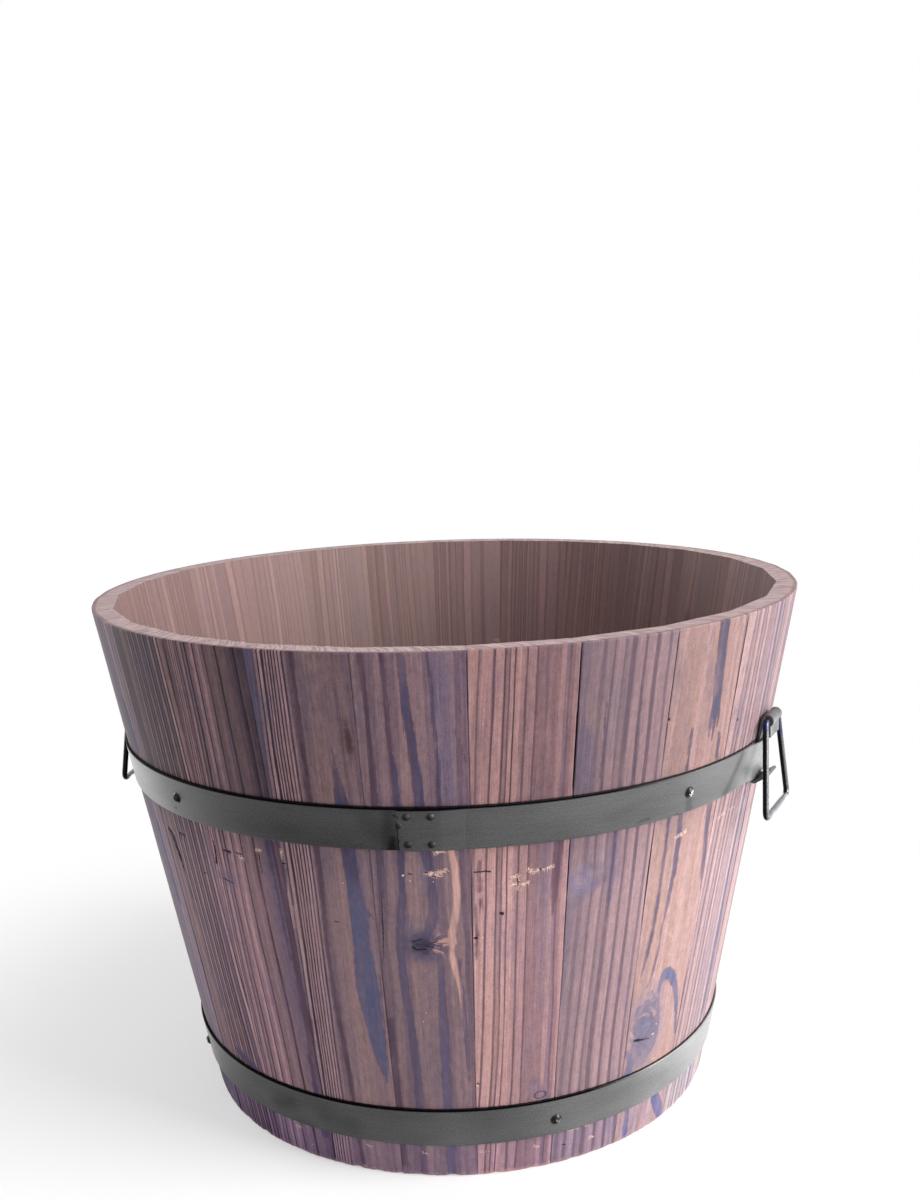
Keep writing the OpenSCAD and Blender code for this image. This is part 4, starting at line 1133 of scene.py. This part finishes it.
def rod_black(name, azimuth):
    """Black painted rod; the paint is worn off the grip down to bright steel. Its outer side is painted lighter
    grey, a painted highlight, and the tops of its legs dark blue, a painted bluish sheen.
    """
    n = Nodes(name)
    place, turn = n.coord("Object"), math.radians(azimuth)
    cloud, grit = n.noise(place, 90.0), n.noise(place, 900.0)
    side = n.vmath("DOT_PRODUCT", place, (math.cos(turn), math.sin(turn), 0.0))
    out = n.vmath("DOT_PRODUCT", n.coord("Normal"), (math.sin(turn), -math.cos(turn), 0.0))
    height = n.split(place)[2]
    bare_steel_and_glint = n.step(height + swing(grit, 0.002), GRIP_Z + 0.0032, GRIP_Z + 0.0022)
    bare_steel_and_glint = bare_steel_and_glint * n.step(abs(side), GRIP_HALF, GRIP_HALF - 0.001)
    # painted highlight on the rod's outer side, painted bluish sheen at the tops of the legs
    lit_side = n.lay((0.15, 0.15, 0.155, 1.0), (0.24, 0.24, 0.25, 1.0), grit, 0.45, 0.7)
    colour = n.lay((0.008, 0.008, 0.01, 1.0), lit_side, out, 0.3, 0.55)
    colour = n.lay(colour, (0.03, 0.035, 0.14, 1.0), height + side * 0.3, BLUE_SHEEN_Z, BLUE_SHEEN_Z + 0.006, 0.6)
    steel = n.lay((0.5, 0.5, 0.52, 1.0), (0.3, 0.3, 0.32, 1.0), cloud, 0.35, 0.65)
    return n.finish(n.shader("BsdfPrincipled", {
        "Base Color": n.mix(bare_steel_and_glint, colour, steel), "Metallic": n.math("MAXIMUM", bare_steel_and_glint, 0.7),
        "Roughness": n.step(cloud, 0.3, 0.7, 0.24, 0.38), "Normal": n.bump(grit, 0.15, 0.0002),
    }))


def screw_black(name, azimuths, z_mid, worn):
    """Screw heads in black paint with a painted glint: bright steel on the side turned down and to the right."""
    n = Nodes(name)
    place = n.coord("Object")
    grit = n.noise(place, 1500.0, 2.0)
    near = None
    for az in azimuths:
        right = np.array([math.cos(math.radians(az)), math.sin(math.radians(az)), 0.0])
        spot = 0.001 * (polar(az, wall_r(z_mid) + 2.6, z_mid - 1.0) + 1.3 * right)
        gap = n.vmath("DISTANCE", place, tuple(spot))
        near = gap if near is None else n.math("MINIMUM", near, gap)
    # painted glint: bright steel in a patch off the middle of each head
    bare_steel_and_glint = n.step(near + swing(grit, 0.0016), worn, worn - 0.0006)
    return n.finish(n.shader("BsdfPrincipled", {
        "Base Color": n.mix(bare_steel_and_glint, srgb(14, 13, 15), grey(0.8)), "Metallic": bare_steel_and_glint,
        "Roughness": n.step(grit, 0.3, 0.7, 0.22, 0.34), "Normal": n.bump(grit, 0.2, 0.0002),
    }))


def board_wood(name, seed):
    """Rough-sawn board with its grain along X."""
    n = Nodes(name)
    x, y, z = n.split(n.coord("Object"))
    grain = n.noise(n.vec(x * 9.0, y * 420.0, z * 420.0), detail=4.0)
    wide = n.noise(n.vec(x * 4.0, y * 120.0, seed), distortion=0.6)
    fibre = n.noise(n.vec(x * 40.0, y * 2200.0, seed + 2))
    colour = n.lay(srgb(134, 106, 96), srgb(104, 80, 78), wide, 0.35, 0.65)
    colour = n.lay(colour, srgb(84, 62, 64), grain, 0.5, 0.7, 0.6)
    return n.finish(n.shader("BsdfPrincipled", {
        "Base Color": n.lay(colour, srgb(160, 130, 114), fibre, 0.55, 0.8, 0.35), "Roughness": 0.7,
        "Normal": n.bump(grain + fibre, 0.5, 0.0005), "Specular IOR Level": 0.35,
    }))


def dress(node, material):
    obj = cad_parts[node]
    obj.data.materials.clear()
    obj.data.materials.append(material)


strap_steel = small_steel("strap_steel", (0.24, 0.24, 0.245, 1.0), 0.38, 60.0)
rivet_steel = small_steel("rivet_steel", (0.075, 0.075, 0.077, 1.0), 0.55, 200.0)
for side, azimuth in (("right", HANDLE_AZ), ("left", -HANDLE_AZ)):
    dress(f"handle_bracket_{side}", strap_steel)
    dress(f"handle_{side}", rod_black(f"rod_paint_{side}", azimuth))
for which in ("upper", "lower"):
    dress(f"{which}_hoop_rivets", rivet_steel)
tack = build_tack("upper_hoop_tack", 9.9, 251.3, 2.2, 1.8, 1.3)
tack.data.materials.append(rivet_steel)
dress("upper_hoop_screws", screw_black("upper_screw_paint", UPPER_GLINT_SCREWS, UPPER_Z, 0.0027))
dress("lower_hoop_screws", screw_black("lower_screw_paint", LOWER_GLINT_SCREWS, LOWER_Z - 2.0, 0.0019))
for k in range(1, 6):
    dress(f"bottom_board_{k}", board_wood(f"board_wood_{k}", 3.7 * k))
dress("bottom_dowels", board_wood("dowel_wood", 31.0))

# ---------------------------------------------------------------- floor, world and lamps

# Azimuth of the darker side of the room, as reflections see it.
DARK_SIDE = 4.0

# Half the brightness of the floor as reflections see it: azimuth and brightness.
FLOOR_GLOSS = read_line(
    "-180 0.95, -140 0.95, -100 0.75, -79 0.62, -70 0.5, -60 0.28, -51 0.18, -41 0.1, -32 0.07, -22 0.052, "
    "-13 0.062, -4 0.075, 5 0.1, 15 0.17, 24 0.22, 34 0.225, 43 0.24, 62 0.32, 71.5 0.34, 81 0.56, 90 0.7, "
    "100 0.75, 109 0.8, 140 0.95, 180 0.95")


def floor_paint():
    """White to the camera but for the barrel's soft shadow; reflections see it darker on the
    camera's side, as in a studio open to the back."""
    n = Nodes("floor_paint")
    ray, place = n.add("LightPath").outputs, n.coord("Object")

    def glow(strength):
        return n.shader("Emission", {"Color": WHITE, "Strength": strength})

    shadow = n.shader("AddShader", {0: n.shader("BsdfDiffuse", {"Color": grey(0.62)}), 1: glow(0.45)})
    away = n.step(n.vmath("LENGTH", place), 0.3, 0.62)
    shown = n.shader("MixShader", {"Fac": away, 1: shadow, 2: glow(1.0)})
    x, y, _ = n.split(place)
    share = n.math("ARCTAN2", x, y * -1.0) / (2 * math.pi) + 0.5
    mirror = n.ramp(share, [((az + 180.0) / 360.0, grey(v)) for az, v in FLOOR_GLOSS])
    plain = n.shader("BsdfDiffuse", {"Color": grey(0.93)})
    plain = n.shader("MixShader", {"Fac": ray["Is Camera Ray"], 1: plain, 2: shown})
    glossy = glow(n.math("MULTIPLY", mirror, 2.0))
    return n.finish(n.shader("MixShader", {"Fac": ray["Is Glossy Ray"], 1: plain, 2: glossy}))


def build_stage():
    ticks = np.linspace(-6000.0, 6000.0, 9)
    gy, gx = np.meshgrid(ticks, ticks)
    points = np.stack([gx.ravel(), gy.ravel(), np.zeros(gx.size)], -1)
    floor = make_mesh("floor", points, grid_quads(np.arange(gx.size).reshape(gx.shape)), smooth=False)
    floor.location.z = -0.0002
    floor.data.materials.append(floor_paint())


def build_world():
    """White to the camera; a soft grey room for light; white with a darker camera side for gloss."""
    n = Nodes("studio", world=True)
    ray, turn = n.add("LightPath").outputs, math.radians(DARK_SIDE)
    facing = n.vmath("DOT_PRODUCT", n.coord("Generated"), (math.sin(turn), -math.cos(turn), 0.0))
    room, gloss, white = (
        n.shader("Background", {"Color": WHITE, "Strength": strength})
        for strength in (0.36, n.step(facing, -0.35, 0.75, 1.0, 0.5), 1.0))
    clear = n.math("MAXIMUM", ray["Is Camera Ray"], ray["Is Transmission Ray"])
    light = n.shader("MixShader", {"Fac": ray["Is Glossy Ray"], 1: room, 2: gloss})
    bpy.context.scene.world = n.finish(n.shader("MixShader", {"Fac": clear, 1: light, 2: white}))


def area(name, azimuth, elevation, distance, size, energy):
    """Square soft light that looks at the middle of the barrel."""
    data = bpy.data.lights.new(name, "AREA")
    data.shape = "SQUARE"
    data.size = size
    data.energy = energy
    lamp = bpy.data.objects.new(name, data)
    bpy.context.scene.collection.objects.link(lamp)
    a, e = math.radians(azimuth), math.radians(elevation)
    way = Vector((math.sin(a) * math.cos(e), -math.cos(a) * math.cos(e), math.sin(e)))
    lamp.location = Vector((0, 0, 0.18)) + way * distance
    lamp.rotation_mode = "QUATERNION"
    lamp.rotation_quaternion = way.to_track_quat("Z", "Y")


build_stage()
build_world()
area("key", 84.0, 22.0, 2.6, 1.7, 96.0)
area("fill", -112.0, 14.0, 2.6, 1.2, 16.0)
area("top", 0.0, 84.0, 2.6, 2.4, 14.0)

view = bpy.context.scene.view_settings
view.view_transform = "Standard"
